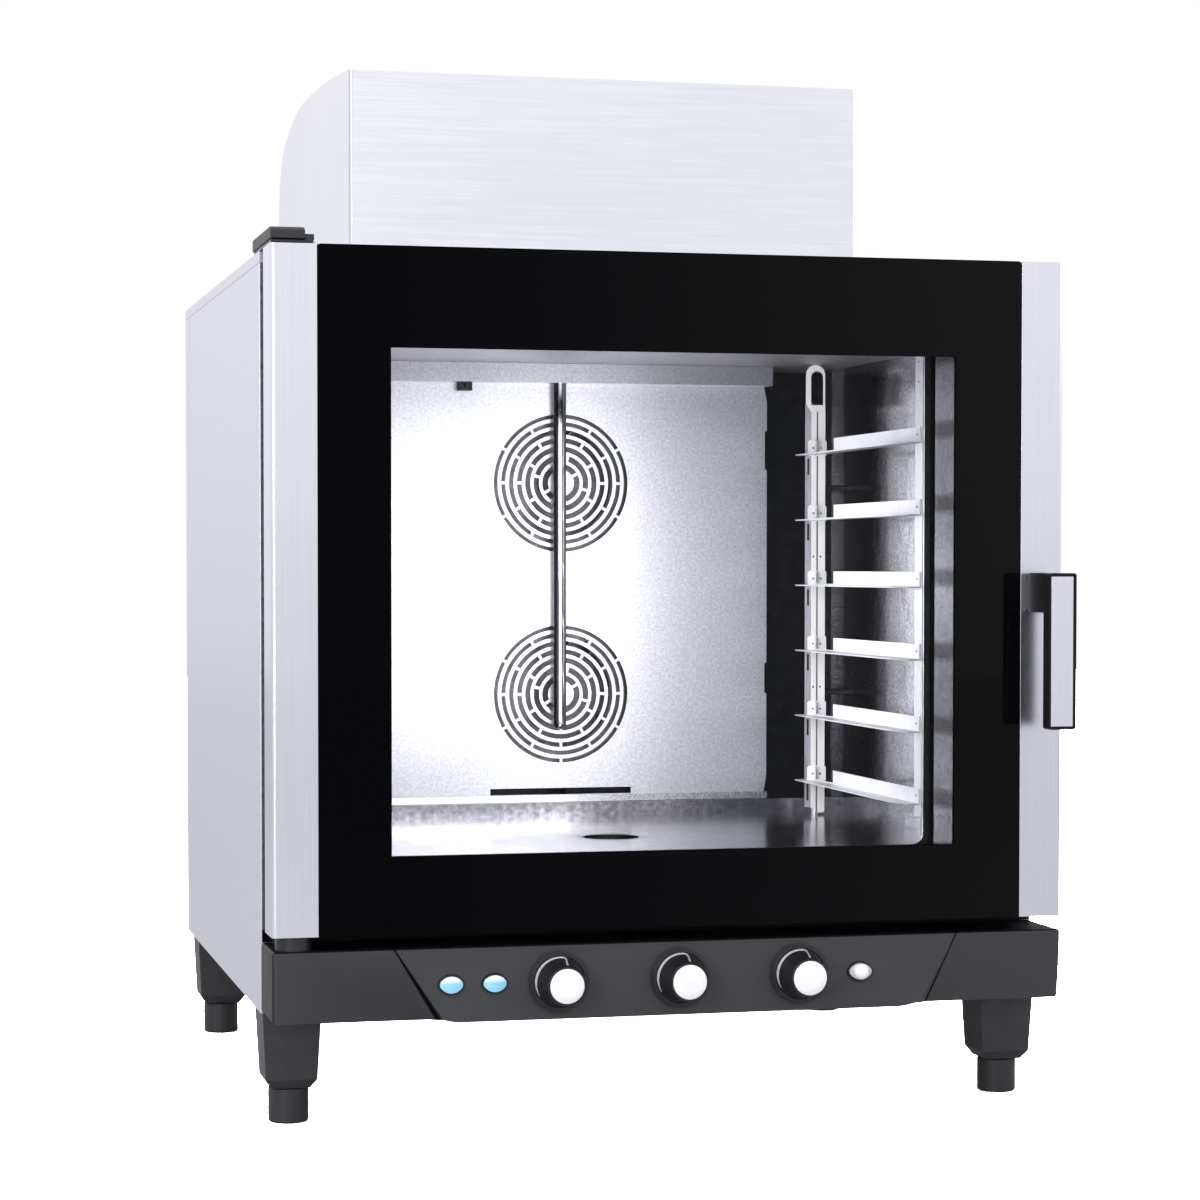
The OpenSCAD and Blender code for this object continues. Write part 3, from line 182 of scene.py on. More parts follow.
def makeWearGroup():
    # where a convex edge is rubbed: pointiness broken up by noise
    group, entry, leave = newGroup(
        "edgeWear", [("Vector", "Vector", None), ("Start", "Float", 0.53), ("Full", "Float", 0.6)], ("Mask",))
    pointiness = addNode(group, "NewGeometry").outputs["Pointiness"]
    noise = step(group, "ShaderNodeTexNoise", [(entry["Vector"], "Vector")], Scale=55, Detail=4)
    edge = mapTo(group, pointiness, entry["Start"], entry["Full"], 0, 1)
    group.links.new(combined(group, "MULTIPLY", edge, noise.outputs[0], clamp=True), leave["Mask"])
    return group


brushGroup, mottleGroup, wearGroup = makeBrushGroup(), makeMottleGroup(), makeWearGroup()


def newMaterial(name):
    mat = bpy.data.materials.new(name)
    mat.use_nodes = True
    tree = mat.node_tree
    coords = addNode(tree, "TexCoord")
    return mat, tree, tree.nodes["Principled BSDF"], coords.outputs["Object"]


def useGroup(tree, group, vector, **values):
    node = tree.nodes.new("ShaderNodeGroup")
    node.node_tree = group
    tree.links.new(vector, node.inputs["Vector"])
    for key, value in values.items():
        node.inputs[key.replace("_", " ")].default_value = value
    return node.outputs


def setRoughness(tree, shader, noise, rough):
    # noise lies mostly between 0.3 and 0.7, so that stretch takes up the whole range
    tree.links.new(mapTo(tree, noise, 0.3, 0.7, *rough), shader.inputs["Roughness"])


def addBump(tree, shader, height, strength, distance):
    bump = step(tree, "ShaderNodeBump", [(height, "Height")], Strength=strength, Distance=distance)
    tree.links.new(bump.outputs[0], shader.inputs["Normal"])


def brushedMetal(name, dark, light, rough, stretch, clouds, bump=0.12, metallic=1.0):
    mat, tree, shader, vector = newMaterial(name)
    out = useGroup(tree, brushGroup, vector, Stretch=stretch, Cloud_size=clouds)
    sway = combined(tree, "MULTIPLY_ADD", out["Clouds"], 0.45, out["Lines"])
    tone = mapTo(tree, sway, 0.52, 0.92, 0, 1)
    tree.links.new(mixColours(tree, tone, dark, light), shader.inputs["Base Color"])
    setRoughness(tree, shader, out["Lines"], rough)
    shader.inputs["Metallic"].default_value = metallic
    addBump(tree, shader, out["Lines"], bump, 0.0006)
    return mat


def mottledMetal(name, dark, light, rough, scale, contrast, bump=0.05):
    mat, tree, shader, vector = newMaterial(name)
    out = useGroup(tree, mottleGroup, vector, Scale=scale, Contrast=contrast)
    tree.links.new(mixColours(tree, out["Spots"], dark, light), shader.inputs["Base Color"])
    setRoughness(tree, shader, out["Fine"], rough)
    shader.inputs["Metallic"].default_value = 1
    addBump(tree, shader, out["Broad"], bump, 0.004)
    return mat


def mouldedPlastic(name, colour, worn, rough, scale=900, bump=0.1, specular=0.5):
    mat, tree, shader, vector = newMaterial(name)
    out = useGroup(tree, mottleGroup, vector, Scale=scale, Contrast=1)
    wear = useGroup(tree, wearGroup, vector)
    grained = mixColours(tree, out["Spots"], [c * 0.9 for c in colour], [c * 1.1 for c in colour])
    tree.links.new(mixColours(tree, wear["Mask"], grained, worn), shader.inputs["Base Color"])
    setRoughness(tree, shader, out["Broad"], rough)
    shader.inputs["Specular IOR Level"].default_value = specular
    addBump(tree, shader, out["Spots"], bump, 0.0002)
    return mat


def clearPane(name, tint, alpha, rough):
    mat, tree, shader, vector = newMaterial(name)
    out = useGroup(tree, mottleGroup, vector, Scale=8, Contrast=1)
    shader.inputs["Base Color"].default_value = (*tint, 1)
    tree.links.new(mapTo(tree, out["Broad"], 0.3, 0.7, alpha * 0.9, alpha * 1.1), shader.inputs["Alpha"])
    shader.inputs["Roughness"].default_value = rough
    return mat


# Masks: each takes a tree and a place on the object, in metres, and gives a value from 0 to 1
def box(**spans):
    # 1 inside the spans given for X, Y or Z; None leaves a side open
    def mask(tree, vector):
        axes = axesOf(tree, vector)
        inside = 1
        for axis, edges in spans.items():
            for operation, edge in zip(("GREATER_THAN", "LESS_THAN"), edges):
                if edge is not None:
                    side = combined(tree, operation, axes[axis], edge)
                    inside = combined(tree, "MULTIPLY", inside, side)
        return inside
    return mask


def besideLine(tree, vector, low, high):
    # signed distance in X from a slanting line between two (x, z) points, and the height
    axes = axesOf(tree, vector)
    slope = (high[0] - low[0]) / (high[1] - low[1])
    line = combined(tree, "MULTIPLY_ADD", axes["Z"], slope, low[0] - slope * low[1])
    return combined(tree, "SUBTRACT", axes["X"], line), axes["Z"]


def alongLine(low, high, widths):
    # a soft line that changes its width from the low end to the high end
    def mask(tree, vector):
        distance, height = besideLine(tree, vector, low, high)
        width = mapTo(tree, height, low[1], high[1], *widths)
        share = combined(tree, "DIVIDE", combined(tree, "ABSOLUTE", distance), width)
        return mapTo(tree, share, 0.5, 1.2, 1, 0)
    return mask


def beyondLine(low, high, side):
    # what lies on one side of a slanting line, -1 for its left and 1 for its right
    def mask(tree, vector):
        distance, height = besideLine(tree, vector, low, high)
        return combined(tree, "GREATER_THAN", combined(tree, "MULTIPLY", distance, side), 0)
    return mask


def nearPoint(centre, radius, edge, squash=(1, 1, 1), broken=0):
    # a soft patch round a point, which noise can break up and a factor for each axis can flatten
    def mask(tree, vector):
        moved = step(tree, "ShaderNodeVectorMath", [(vector, 0)], operation="SUBTRACT")
        moved.inputs[1].default_value = centre
        squashed = step(tree, "ShaderNodeVectorMath", [(moved.outputs[0], 0)], operation="MULTIPLY")
        squashed.inputs[1].default_value = squash
        away = step(tree, "ShaderNodeVectorMath", [(squashed.outputs[0], 0)], operation="LENGTH")
        spots = useGroup(tree, mottleGroup, vector, Scale=70, Contrast=2)["Spots"]
        ragged = combined(tree, "MULTIPLY_ADD", spots, broken, away.outputs["Value"])
        return mapTo(tree, ragged, radius, radius + edge, 1, 0)
    return mask


def inBoth(first, second):
    # what two masks have in common
    return lambda tree, vector: combined(tree, "MINIMUM", first(tree, vector), second(tree, vector))


def nearLevels(first, pitch, reach):
    # soft bands that come back at each rack level
    def mask(tree, vector):
        moved = combined(tree, "SUBTRACT", axesOf(tree, vector)["Z"], first)
        away = combined(tree, "PINGPONG", moved, pitch / 2)
        return mapTo(tree, away, reach * 0.4, reach, 1, 0)
    return mask


def alongX(full, none):
    # fades out along X
    return lambda tree, vector: mapTo(tree, axesOf(tree, vector)["X"], full, none, 1, 0)


def paintedShadeAndStain(mat, where, factor, gloss=None):
    # multiplies a finish's colour by a factor where a mask says so, and sets its specular level there
    tree = mat.node_tree
    shader = tree.nodes["Principled BSDF"]
    vector = next(n for n in tree.nodes if n.bl_idname == "ShaderNodeTexCoord").outputs["Object"]
    mask = where(tree, vector)
    colour = shader.inputs["Base Color"]
    dim = step(tree, "ShaderNodeMix", [(mask, 0), (colour.links[0].from_socket, 6)],
               data_type="RGBA", blend_type="MULTIPLY")
    dim.inputs[7].default_value = (*factor, 1)
    tree.links.new(dim.outputs[2], colour)
    if gloss is not None:
        level = shader.inputs["Specular IOR Level"]
        mix = step(tree, "ShaderNodeMix", [(mask, 0)], data_type="FLOAT")
        feed(tree, mix.inputs[2], level.links[0].from_socket if level.links else level.default_value)
        mix.inputs[3].default_value = gloss
        tree.links.new(mix.outputs[0], level)


windowSettings = {"X": (-0.306, 0.3066), "Z": (0.2875, 0.8101), "clear": 0.04,
                  "black": (0.0022, 0.0022, 0.0028), "glossPlaces": (-0.3, 0.38), "gloss": (0.012, 0.11)}


def printedGlass(name, s):
    # black print round a clear window, told apart by the place on the pane
    mat, tree, shader, vector = newMaterial(name)
    window = box(X=s["X"], Z=s["Z"])(tree, vector)
    tree.links.new(mapTo(tree, window, 0, 1, 1, s["clear"]), shader.inputs["Alpha"])
    tree.links.new(mixColours(tree, window, s["black"], (0.03, 0.033, 0.036)), shader.inputs["Base Color"])
    out = useGroup(tree, mottleGroup, vector, Scale=5, Contrast=1)
    setRoughness(tree, shader, out["Broad"], (0.02, 0.05))
    gloss = mapTo(tree, axesOf(tree, vector)["X"], *s["glossPlaces"], *s["gloss"])
    tree.links.new(gloss, shader.inputs["Specular IOR Level"])
    return mat


# Brushed metals: dark and light colour, roughness, stretch of the lines, clouds, bump, metallic
brushedMetals = {
    "hood": ("hoodSteel", (0.83, 0.85, 0.89), (0.91, 0.92, 0.96), (0.36, 0.46), (7, 300, 420), 6, 0.06),
    "wire": ("rackSteel", (0.70, 0.71, 0.74), (0.83, 0.83, 0.86), (0.34, 0.44), (40, 90, 40), 12, 0.03, 0.6),
    # face: a painted lit copy of the posts' steel, near white; fold: a painted shaded copy for their fold and
    # groove
    "face": ("postSteelPaintedLight", (0.93, 0.94, 0.97), (1, 1, 1), (0.34, 0.44), (90, 90, 12), 12, 0.03, 0.05),
    "fold": ("postSteelPaintedShade", (0.20, 0.20, 0.23), (0.34, 0.34, 0.38), (0.34, 0.44), (40, 90, 12), 12, 0.03, 0.6),
    "pipe": ("polishedSteel", (0.52, 0.53, 0.56), (0.62, 0.63, 0.66), (0.04, 0.09), (90, 90, 12), 12, 0.02),
    "alu": ("satinAluminium", (0.84, 0.85, 0.93), (0.89, 0.90, 0.98), (0.20, 0.24), (900, 900, 5), 7, 0.015),
    "insert": ("insertAluminium", (0.88, 0.89, 0.97), (0.92, 0.93, 1.0), (0.22, 0.28),
               (900, 900, 10), 9, 0.015),
}
# Mottled metals: dark and light colour, roughness, scale of the spots, contrast, bump
mottledMetals = {
    "side": ("sideSteel", (0.74, 0.75, 0.82), (0.84, 0.85, 0.92), (0.36, 0.46), 620, 1.6, 0.02),
    "frame": ("frameSteel", (0.30, 0.30, 0.33), (0.75, 0.76, 0.80), (0.16, 0.26), 120, 1.6),
    "plate": ("guardSteel", (0.58, 0.59, 0.65), (0.86, 0.87, 0.93), (0.32, 0.46), 330, 2.6, 0.06),
    "wall": ("wallSteel", (0.15, 0.15, 0.16), (0.42, 0.42, 0.45), (0.13, 0.22), 330, 3.6, 0.1),
    # roof: a lighter copy of the wall steel, painted light on the chamber's ceiling
    "roof": ("roofSteelPaintedLight", (0.30, 0.30, 0.32), (0.50, 0.50, 0.53), (0.45, 0.55), 150, 2.0, 0.1),
    # dark: near-black steel, painted shade on the fan compartment's back, in the drain pipe and in the
    # keyholes; the heat exchanger is near-black too
    "dark": ("darkSteelPaintedShade", (0.010, 0.010, 0.011), (0.03, 0.03, 0.032), (0.4, 0.5), 60, 1.6),
    "floor": ("floorSteel", (0.26, 0.26, 0.28), (0.60, 0.60, 0.64), (0.10, 0.22), 130, 2.6, 0.06),
    "lip": ("lipSteel", (0.78, 0.78, 0.82), (0.9, 0.9, 0.94), (0.2, 0.3), 150, 2.0, 0.1),
    "blade": ("impellerSteel", (0.08, 0.08, 0.085), (0.20, 0.20, 0.21), (0.35, 0.45), 60, 1.6),
    "zinc": ("zincPlate", (0.42, 0.43, 0.46), (0.66, 0.67, 0.71), (0.34, 0.5), 35, 2.0),
    "fire": ("heatStain", (0.16, 0.13, 0.11), (0.45, 0.42, 0.40), (0.35, 0.55), 22, 2.4, 0.3),
    "brass": ("castBrass", (0.42, 0.30, 0.13), (0.66, 0.50, 0.24), (0.30, 0.45), 60, 2.0, 0.3),
    "screw": ("screwSteel", (0.40, 0.40, 0.42), (0.62, 0.62, 0.65), (0.22, 0.32), 300, 1.6),
    "rivet": ("rivetSteel", (0.20, 0.20, 0.22), (0.34, 0.34, 0.36), (0.2, 0.3), 400, 1.6),
    "channel": ("channelSteel", (0.13, 0.13, 0.14), (0.26, 0.26, 0.28), (0.18, 0.26), 240, 2.2, 0.1),
}
# Plastics, paint and print: colour, colour of rubbed edges, roughness, scale of the grain, bump, specular
mouldedPlastics = {
    "panel": ("fasciaPlastic", (0.032, 0.033, 0.038), (0.055, 0.056, 0.063), (0.42, 0.5)),
    "leg": ("legPlastic", (0.022, 0.023, 0.026), (0.06, 0.06, 0.068), (0.38, 0.48)),
    "knob": ("knobPlastic", (0.012, 0.012, 0.016), (0.03, 0.03, 0.035), (0.28, 0.38)),
    "cap": ("capPlastic", (0.95, 0.96, 0.98), (0.97, 0.97, 0.98), (0.3, 0.4), 600, 0.04),
    "rubber": ("sealRubber", (0.004, 0.004, 0.0045), (0.01, 0.01, 0.01), (0.55, 0.66), 500, 0.2, 0.02),
    "cover": ("coverPlastic", (0.017, 0.017, 0.020), (0.03, 0.03, 0.034), (0.42, 0.52)),
    "enamel": ("blackEnamel", (0.010, 0.010, 0.012), (0.03, 0.03, 0.03), (0.25, 0.35), 400, 0.05),
    "grip": ("handlePlastic", (0.008, 0.008, 0.010), (0.012, 0.012, 0.014), (0.40, 0.48), 700, 0.02, 0.22),
    "switch": ("switchPlastic", (0.50, 0.47, 0.38), (0.55, 0.52, 0.43), (0.4, 0.5)),
    "motor": ("motorPaint", (0.05, 0.05, 0.06), (0.12, 0.12, 0.13), (0.35, 0.45)),
    "wool": ("mineralWool", (0.55, 0.50, 0.36), (0.6, 0.55, 0.42), (0.9, 1.0), 260, 0.8, 0.1),
    # print: the knobs' pointer line, and the painted highlight arc on their chamfers
    "print": ("greyPrintAndPaintedHighlight", (0.42, 0.42, 0.46), (0.5, 0.5, 0.54), (0.3, 0.4), 500, 0.03),
    "button": ("buttonPlastic", (0.95, 0.96, 0.98), (0.97, 0.97, 0.98), (0.28, 0.36), 500, 0.03),
}
finishes = {"glass": printedGlass("printedGlass", windowSettings),
            "pane": clearPane("innerGlass", (0.03, 0.036, 0.036), 0.03, 0.02)}
for make, table in ((brushedMetal, brushedMetals), (mottledMetal, mottledMetals),
                    (mouldedPlastic, mouldedPlastics)):
    finishes.update({key: make(*values) for key, values in table.items()})

# Painted shade and shadows at bends, recesses and between parts, painted reflections, the insert's dark frame
# and a dark broken ring round the drain: finish, mask, factor on the colour and, where it changes, the
# specular level
drain = (-0.012, frontY + 0.245, 0.287)
paintedShadesAndStains = [
    # painted shade in the hood's front corner seam and a darker band along its top front bend, and painted
    # shade at the button's base
    ("hood", box(X=(-0.3095, -0.3052), Y=(None, frontY + 0.2492), Z=(0.93, None)), (0.66, 0.66, 0.70)),
    ("hood", box(Y=(None, frontY + 0.2458), Z=(1.1408, None)), (0.72, 0.72, 0.72)),
    ("button", box(Y=(frontY - 0.0088, None)), (0.62, 0.62, 0.64)),
    # painted shadow on the fascia's top and on the frame behind it, and the fascia's left side darker
    ("panel", box(Z=(0.1913, None)), (0.2, 0.2, 0.2), 0.02),
    ("panel", box(X=(None, -0.4275)), (0.6, 0.6, 0.62), 0.25),
    ("frame", box(Z=(None, 0.206)), (0.05, 0.05, 0.05)),
    # painted shade on the posts' pins at the right wall, and on both flanks of the water pipe
    ("wire", box(X=(0.3178, None), Y=(frontY + 0.05, None)), (0.06, 0.06, 0.06)),
    ("pipe", box(X=(None, -0.0082)), (0.08, 0.08, 0.09)),
    ("pipe", box(X=(0.0002, None)), (0.45, 0.45, 0.47)),
    # painted shade in the guard's slot walls and on its header, a painted shadow on the edge below, and
    # painted shade that darkens it towards the left, against the chamber light's highlight
    ("plate", box(X=(-0.2, 0.2), Y=(frontY + 0.5402, None), Z=(None, 0.79)), (0.05, 0.05, 0.05)),
    ("plate", box(Y=(None, frontY + 0.517)), (0.66, 0.66, 0.67)),
    ("plate", box(Y=(None, frontY + 0.5395), Z=(0.80, 0.8088)), (0.2, 0.2, 0.2)),
    ("plate", alongX(-0.12, 0.08), (0.55, 0.55, 0.56)),
    # the dark frame round the handle's insert
    ("insert", box(X=(0.4149, None)), (0.03, 0.03, 0.035)),
    ("insert", box(Z=(0.5753, None)), (0.03, 0.03, 0.035)),
    ("insert", box(Z=(None, 0.4166)), (0.03, 0.03, 0.035)),
    # a dark broken ring round the drain, a painted shadow at the guard's foot, and painted reflections of the
    # rack levels in the window channels
    ("floor", inBoth(nearPoint(drain, 0.040, 0.012, broken=0.014), nearPoint(drain, 0.026, -0.012)),
     (0.12, 0.12, 0.13)),
    ("floor", nearPoint((-0.32, frontY + 0.57, 0.287), 0.15, 0.06, (0.6, 1, 0)), (0.66, 0.66, 0.69)),
    ("channel", nearLevels((rackLevels[0] + 12) / 1000, rackLevels[1] / 1000, 0.013), (0.25, 0.25, 0.26)),
]
# ends of the fascia's raised middle, as (x, z) at the lower and the upper end of each
raisedEnds = (((-0.2600, 0.1219), (-0.3016, 0.1885), -1, (0.0042, 0.0013)),
              ((0.2755, 0.1217), (0.3071, 0.1865), 1, (0.0018, 0.0011)))
# the fascia darker beyond each end of the raised middle, and a painted shade line along each slanting end
for low, high, side, widths in raisedEnds:
    paintedShadesAndStains += [("panel", beyondLine(low, high, side), (0.87, 0.87, 0.87)),
               ("panel", alongLine(low, high, widths), (0.08, 0.08, 0.08), 0.02)]
# shadows round the lamps and the button, then round the knobs
paintedShadesAndStains += [("panel", nearPoint((x, frontY, 0.1538), 0.0125, 0.0035, (1, 0, 1.3)), (0.25, 0.25, 0.27))
           for x in (-0.245, -0.199, 0.199)]
paintedShadesAndStains += [("panel", nearPoint((x, frontY, 0.1530), 0.0305, 0.004, (1, 0, 1)), (0.45, 0.45, 0.47))
           for x in (-0.131, 0, 0.131)]
for finish, *shadeAndStain in paintedShadesAndStains:
    paintedShadeAndStain(finishes[finish], *shadeAndStain)
print("finishes made:", len(finishes))


# Pieces that carry over the solids
def linkPiece(name, mesh, body, finish, replaced=()):
    ob = bpy.data.objects.new(name, mesh)
    bpy.context.scene.collection.objects.link(ob)
    mesh.materials.clear()
    mesh.materials.append(finishes[finish])
    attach(ob, body)
    if replaced:
        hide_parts(*replaced)
    return ob


def dress(name, finish):
    mesh = nodes[name].data
    mesh.materials.clear()
    mesh.materials.append(finishes[finish])


def softened(name, finish, width, segments=2, angle=32):
    # a welded copy of a solid with its edges rounded off
    mesh = nodes[name].data.copy()
    bm = bmesh.new()
    bm.from_mesh(mesh)
    bmesh.ops.remove_doubles(bm, verts=bm.verts, dist=2e-6)
    bmesh.ops.dissolve_limit(bm, angle_limit=math.radians(0.6), verts=bm.verts, edges=bm.edges)
    bmesh.ops.recalc_face_normals(bm, faces=bm.faces)
    bm.to_mesh(mesh)
    bm.free()
    mesh.normals_split_custom_set([(0, 0, 0)] * len(mesh.loops))
    for polygon in mesh.polygons:
        polygon.use_smooth = True
    mesh.set_sharp_from_angle(angle=math.radians(angle))
    ob = linkPiece(name + "_finished", mesh, bodyOf[name], finish, (name,))
    if width:
        bevel = ob.modifiers.new("rounding", "BEVEL")
        bevel.width = width / 1000
        bevel.segments = segments
        bevel.limit_method = "ANGLE"
        bevel.angle_limit = math.radians(angle)
        bevel.harden_normals = True


plainFinishes = {
    "back_panel": "zinc", "base_pan": "zinc", "front_frame": "frame", "switch_block": "switch",
    "gas_valve": "brass", "burner": "fire", "heat_exchanger": "dark", "flue_pipe": "frame",
    "cavity_floor": "floor", "cavity_roof": "roof", "cavity_side_left": "wall", "cavity_side_right": "wall",
    "cavity_back": "dark", "drain_pipe": "dark", "fan_guard": "plate", "fan_motors": "motor",
    "insulation": "wool", "hinge_plate_top": "enamel", "hinge_pin_bottom": "enamel",
    "latch_keeper": "frame", "door_inner_glass": "pane", "door_rails": "enamel",
    "door_rear_frame": "enamel", "latch_cam": "frame", "impeller_upper": "blade",
    "impeller_lower": "blade", "water_valve": "zinc",
}
for name, finish in plainFinishes.items():
    dress(name, finish)
# finish and width of the rounded edges in mm
roundedFinishes = {
    "side_panel_left": ("side", 0.5), "side_panel_right": ("side", 0.5), "top_cover": ("side", 0.5),
    "hood_shell": ("hood", 0.5), "control_panel": ("panel", 0.9), "knob_bezels": ("knob", 0.3),
    "panel_rims": ("knob", 0.5), "steam_pipe": ("pipe", 0), "temperature_probe": ("grip", 0.3),
    "rack_posts": ("wire", 0.25), "rack_rails_left": ("wire", 0.25), "rack_rails_right": ("wire", 0.25),
    "door_gasket": ("rubber", 1.0), "hinge_cap": ("cover", 1.4), "leg_blocks": ("leg", 1.6),
    "cable_gland": ("cover", 0.3), "door_outer_glass": ("glass", 0.4), "door_profile_left": ("alu", 0.5),
    "door_profile_right": ("alu", 0.5), "handle_lever": ("grip", 0.9), "handle_insert": ("insert", 0.25),
    "timer_knob": ("knob", 0.4), "temperature_knob": ("knob", 0.4), "steam_knob": ("knob", 0.4),
    "timer_knob_cap": ("cap", 0), "temperature_knob_cap": ("cap", 0), "steam_knob_cap": ("cap", 0),
    "start_button": ("button", 0.35), "foot_front_left": ("leg", 0.4), "foot_front_right": ("leg", 0.4),
    "foot_rear_left": ("leg", 0.4), "foot_rear_right": ("leg", 0.4),
}
for name, (finish, width) in roundedFinishes.items():
    softened(name, finish, width)
print("solids finished")


# Lamps
def lampLens(name):
    mat, tree, shader, vector = newMaterial(name)
    facing = addNode(tree, "LayerWeight", Blend=0.35)
    out = useGroup(tree, mottleGroup, vector, Scale=90, Contrast=1.4)
    body = mixColours(tree, out["Spots"], (0.24, 0.60, 0.86), (0.34, 0.70, 0.92))
    # painted highlight: the lens whiter towards its top; painted shade: its edge darker where it turns away
    upper = mapTo(tree, axesOf(tree, vector)["Z"], 0.1556, 0.1592, 0, 1)
    paintedTopHighlight = mixColours(tree, upper, body, (0.78, 0.88, 0.93))
    paintedEdgeShade = mapTo(tree, facing.outputs["Facing"], 0.45, 0.8, 0, 1)
    tree.links.new(mixColours(tree, paintedEdgeShade, paintedTopHighlight, (0.20, 0.40, 0.55)), shader.inputs["Base Color"])
    shader.inputs["Roughness"].default_value = 0.08
    shader.inputs["Coat Weight"].default_value = 0.6
    shader.inputs["Emission Color"].default_value = (0.35, 0.72, 0.95, 1)
    shader.inputs["Emission Strength"].default_value = 0.12
    return mat


finishes["lamp"] = lampLens("lampLens")
softened("lamp_lenses", "lamp", 0.3)


# Pointer line and a painted highlight arc on each knob's chamfer: one raised line along the skirt's slope and
# up the cone. The knob's side view is (radius, y) in mm, and the line's places on it are an angle in degrees
# and a distance along it.
knobMarks = {"profile": ((26.3, -11.2), (24.5, -13.6), (20.6, -41.5)), "row": 154.5,
             "lift": 0.2, "depth": 0.3,
             "arc": (212, 83), "arcPlace": 0.7, "arcWidth": (0.6, 3.5, 2.3), "swell": 3.2, "tickWidth": 2.1,
             "hook": ((79.5, 1.2), (77.2, 2.2), (76.6, 4.2), (77.2, 6.5), (78, 9)), "tickEnd": (86, 28)}


def onKnob(x, s, angle, place):
    # the point and outward direction at an angle and a distance along the knob's side view
    a, b, c = s["profile"]
    first = math.dist(a, b)
    start, end, along = (a, b, place) if place < first else (b, c, place - first)
    share = along / math.dist(start, end)
    r = start[0] + (end[0] - start[0]) * share
    y = start[1] + (end[1] - start[1]) * share
    turn = math.radians(angle)
    outward = Vector(((start[1] - end[1]) * math.cos(turn), end[0] - start[0],
                      (start[1] - end[1]) * math.sin(turn))).normalized()
    return at(x + r * math.cos(turn), y, s["row"] + r * math.sin(turn)), outward


def markMesh(name, x, s):
    # a path of (angle, distance along the side view, width), and a rounded section swept along it
    path = []
    (start, end), (low, full, last) = s["arc"], s["arcWidth"]
    for i in range(49):
        share = i / 48
        width = min(low + (full - low) * share * s["swell"], full - (full - last) * share)
        path.append((start + (end - start) * share, s["arcPlace"], width))
    path += [(angle, place, s["tickWidth"]) for angle, place in s["hook"]]
    bend, end = s["hook"][-1], s["tickEnd"]
    path += [(*(a + (b - a) * i / 6 for a, b in zip(bend, end)), s["tickWidth"]) for i in range(1, 7)]
    points = [onKnob(x, s, angle, place) for angle, place, width in path]
    bm = bmesh.new()
    rings = []
    for i, (point, outward) in enumerate(points):
        ahead = points[min(i + 1, len(points) - 1)][0] - points[max(i - 1, 0)][0]
        sideways = outward.cross(ahead).normalized() * path[i][2] / 2000
        up, down = outward * s["lift"] / 1000, outward * s["depth"] / -1000
        rings.append([bm.verts.new(point + v) for v in
                      (sideways + down, sideways + up * 0.4, sideways * 0.75 + up, sideways * -0.75 + up,
                       sideways * -1 + up * 0.4, sideways * -1 + down)])
    for a, b in zip(rings, rings[1:]):
        for k in range(6):
            bm.faces.new((a[k], a[(k + 1) % 6], b[(k + 1) % 6], b[k]))
    bm.faces.new(rings[0])
    bm.faces.new(rings[-1][::-1])
    bmesh.ops.recalc_face_normals(bm, faces=bm.faces)
    mesh = bpy.data.meshes.new(name)
    bm.to_mesh(mesh)
    bm.free()
    return mesh


for x, body, node in ((-131, "timer_control", "timer_knob"), (0, "temperature_control", "temperature_knob"),
                      (131, "steam_control", "steam_knob")):
    linkPiece(node + "_mark", markMesh(node + "Mark", x, knobMarks), body, "print")
print("knobs marked")


# Small fittings by Geometry Nodes: one tree for each kind, placed on points that carry a facing
def newTree(name, inputs):
    tree = bpy.data.node_groups.new(name, "GeometryNodeTree")
    tree.is_modifier = True
    tree.interface.new_socket(name="Geometry", in_out="INPUT", socket_type="NodeSocketGeometry")
    for label, kind, value in inputs:
        socket = tree.interface.new_socket(name=label, in_out="INPUT", socket_type="NodeSocket" + kind)
        if value is not None:
            socket.default_value = value
    tree.interface.new_socket(name="Geometry", in_out="OUTPUT", socket_type="NodeSocketGeometry")
    return tree, tree.nodes.new("NodeGroupInput").outputs, tree.nodes.new("NodeGroupOutput")


def asVector(tree, x, y, z):
    node = addNode(tree, "CombineXYZ")
    for socket, value in zip(node.inputs, (x, y, z)):
        feed(tree, socket, value)
    return node.outputs[0]


def onPoints(tree, entry, leave, shape):
    # sets a shape on each point, its Z along the point's facing, then makes it real
    facing = step(tree, "GeometryNodeInputNamedAttribute", data_type="FLOAT_VECTOR", Name="facing")
    turn = step(tree, "FunctionNodeAlignRotationToVector", [(facing.outputs[0], "Vector")], axis="Z")
    placed = step(tree, "GeometryNodeInstanceOnPoints",
                  [(entry["Geometry"], "Points"), (shape, "Instance"), (turn.outputs[0], "Rotation")])
    real = step(tree, "GeometryNodeRealizeInstances", [(placed.outputs[0], 0)])
    finish = step(tree, "GeometryNodeSetMaterial",
                  [(real.outputs[0], "Geometry"), (entry["Material"], "Material")])
    tree.links.new(finish.outputs[0], leave.inputs[0])


def domeShape(tree, entry, rings=6, segments=16):
    ball = step(tree, "GeometryNodeMeshUVSphere", [(entry["Radius"], "Radius")],
                Segments=segments, Rings=rings)
    flat = combined(tree, "DIVIDE", entry["Height"], entry["Radius"])
    return step(tree, "GeometryNodeTransform",
                [(ball.outputs[0], "Geometry"), (asVector(tree, 1, 1, flat), "Scale")]).outputs[0]


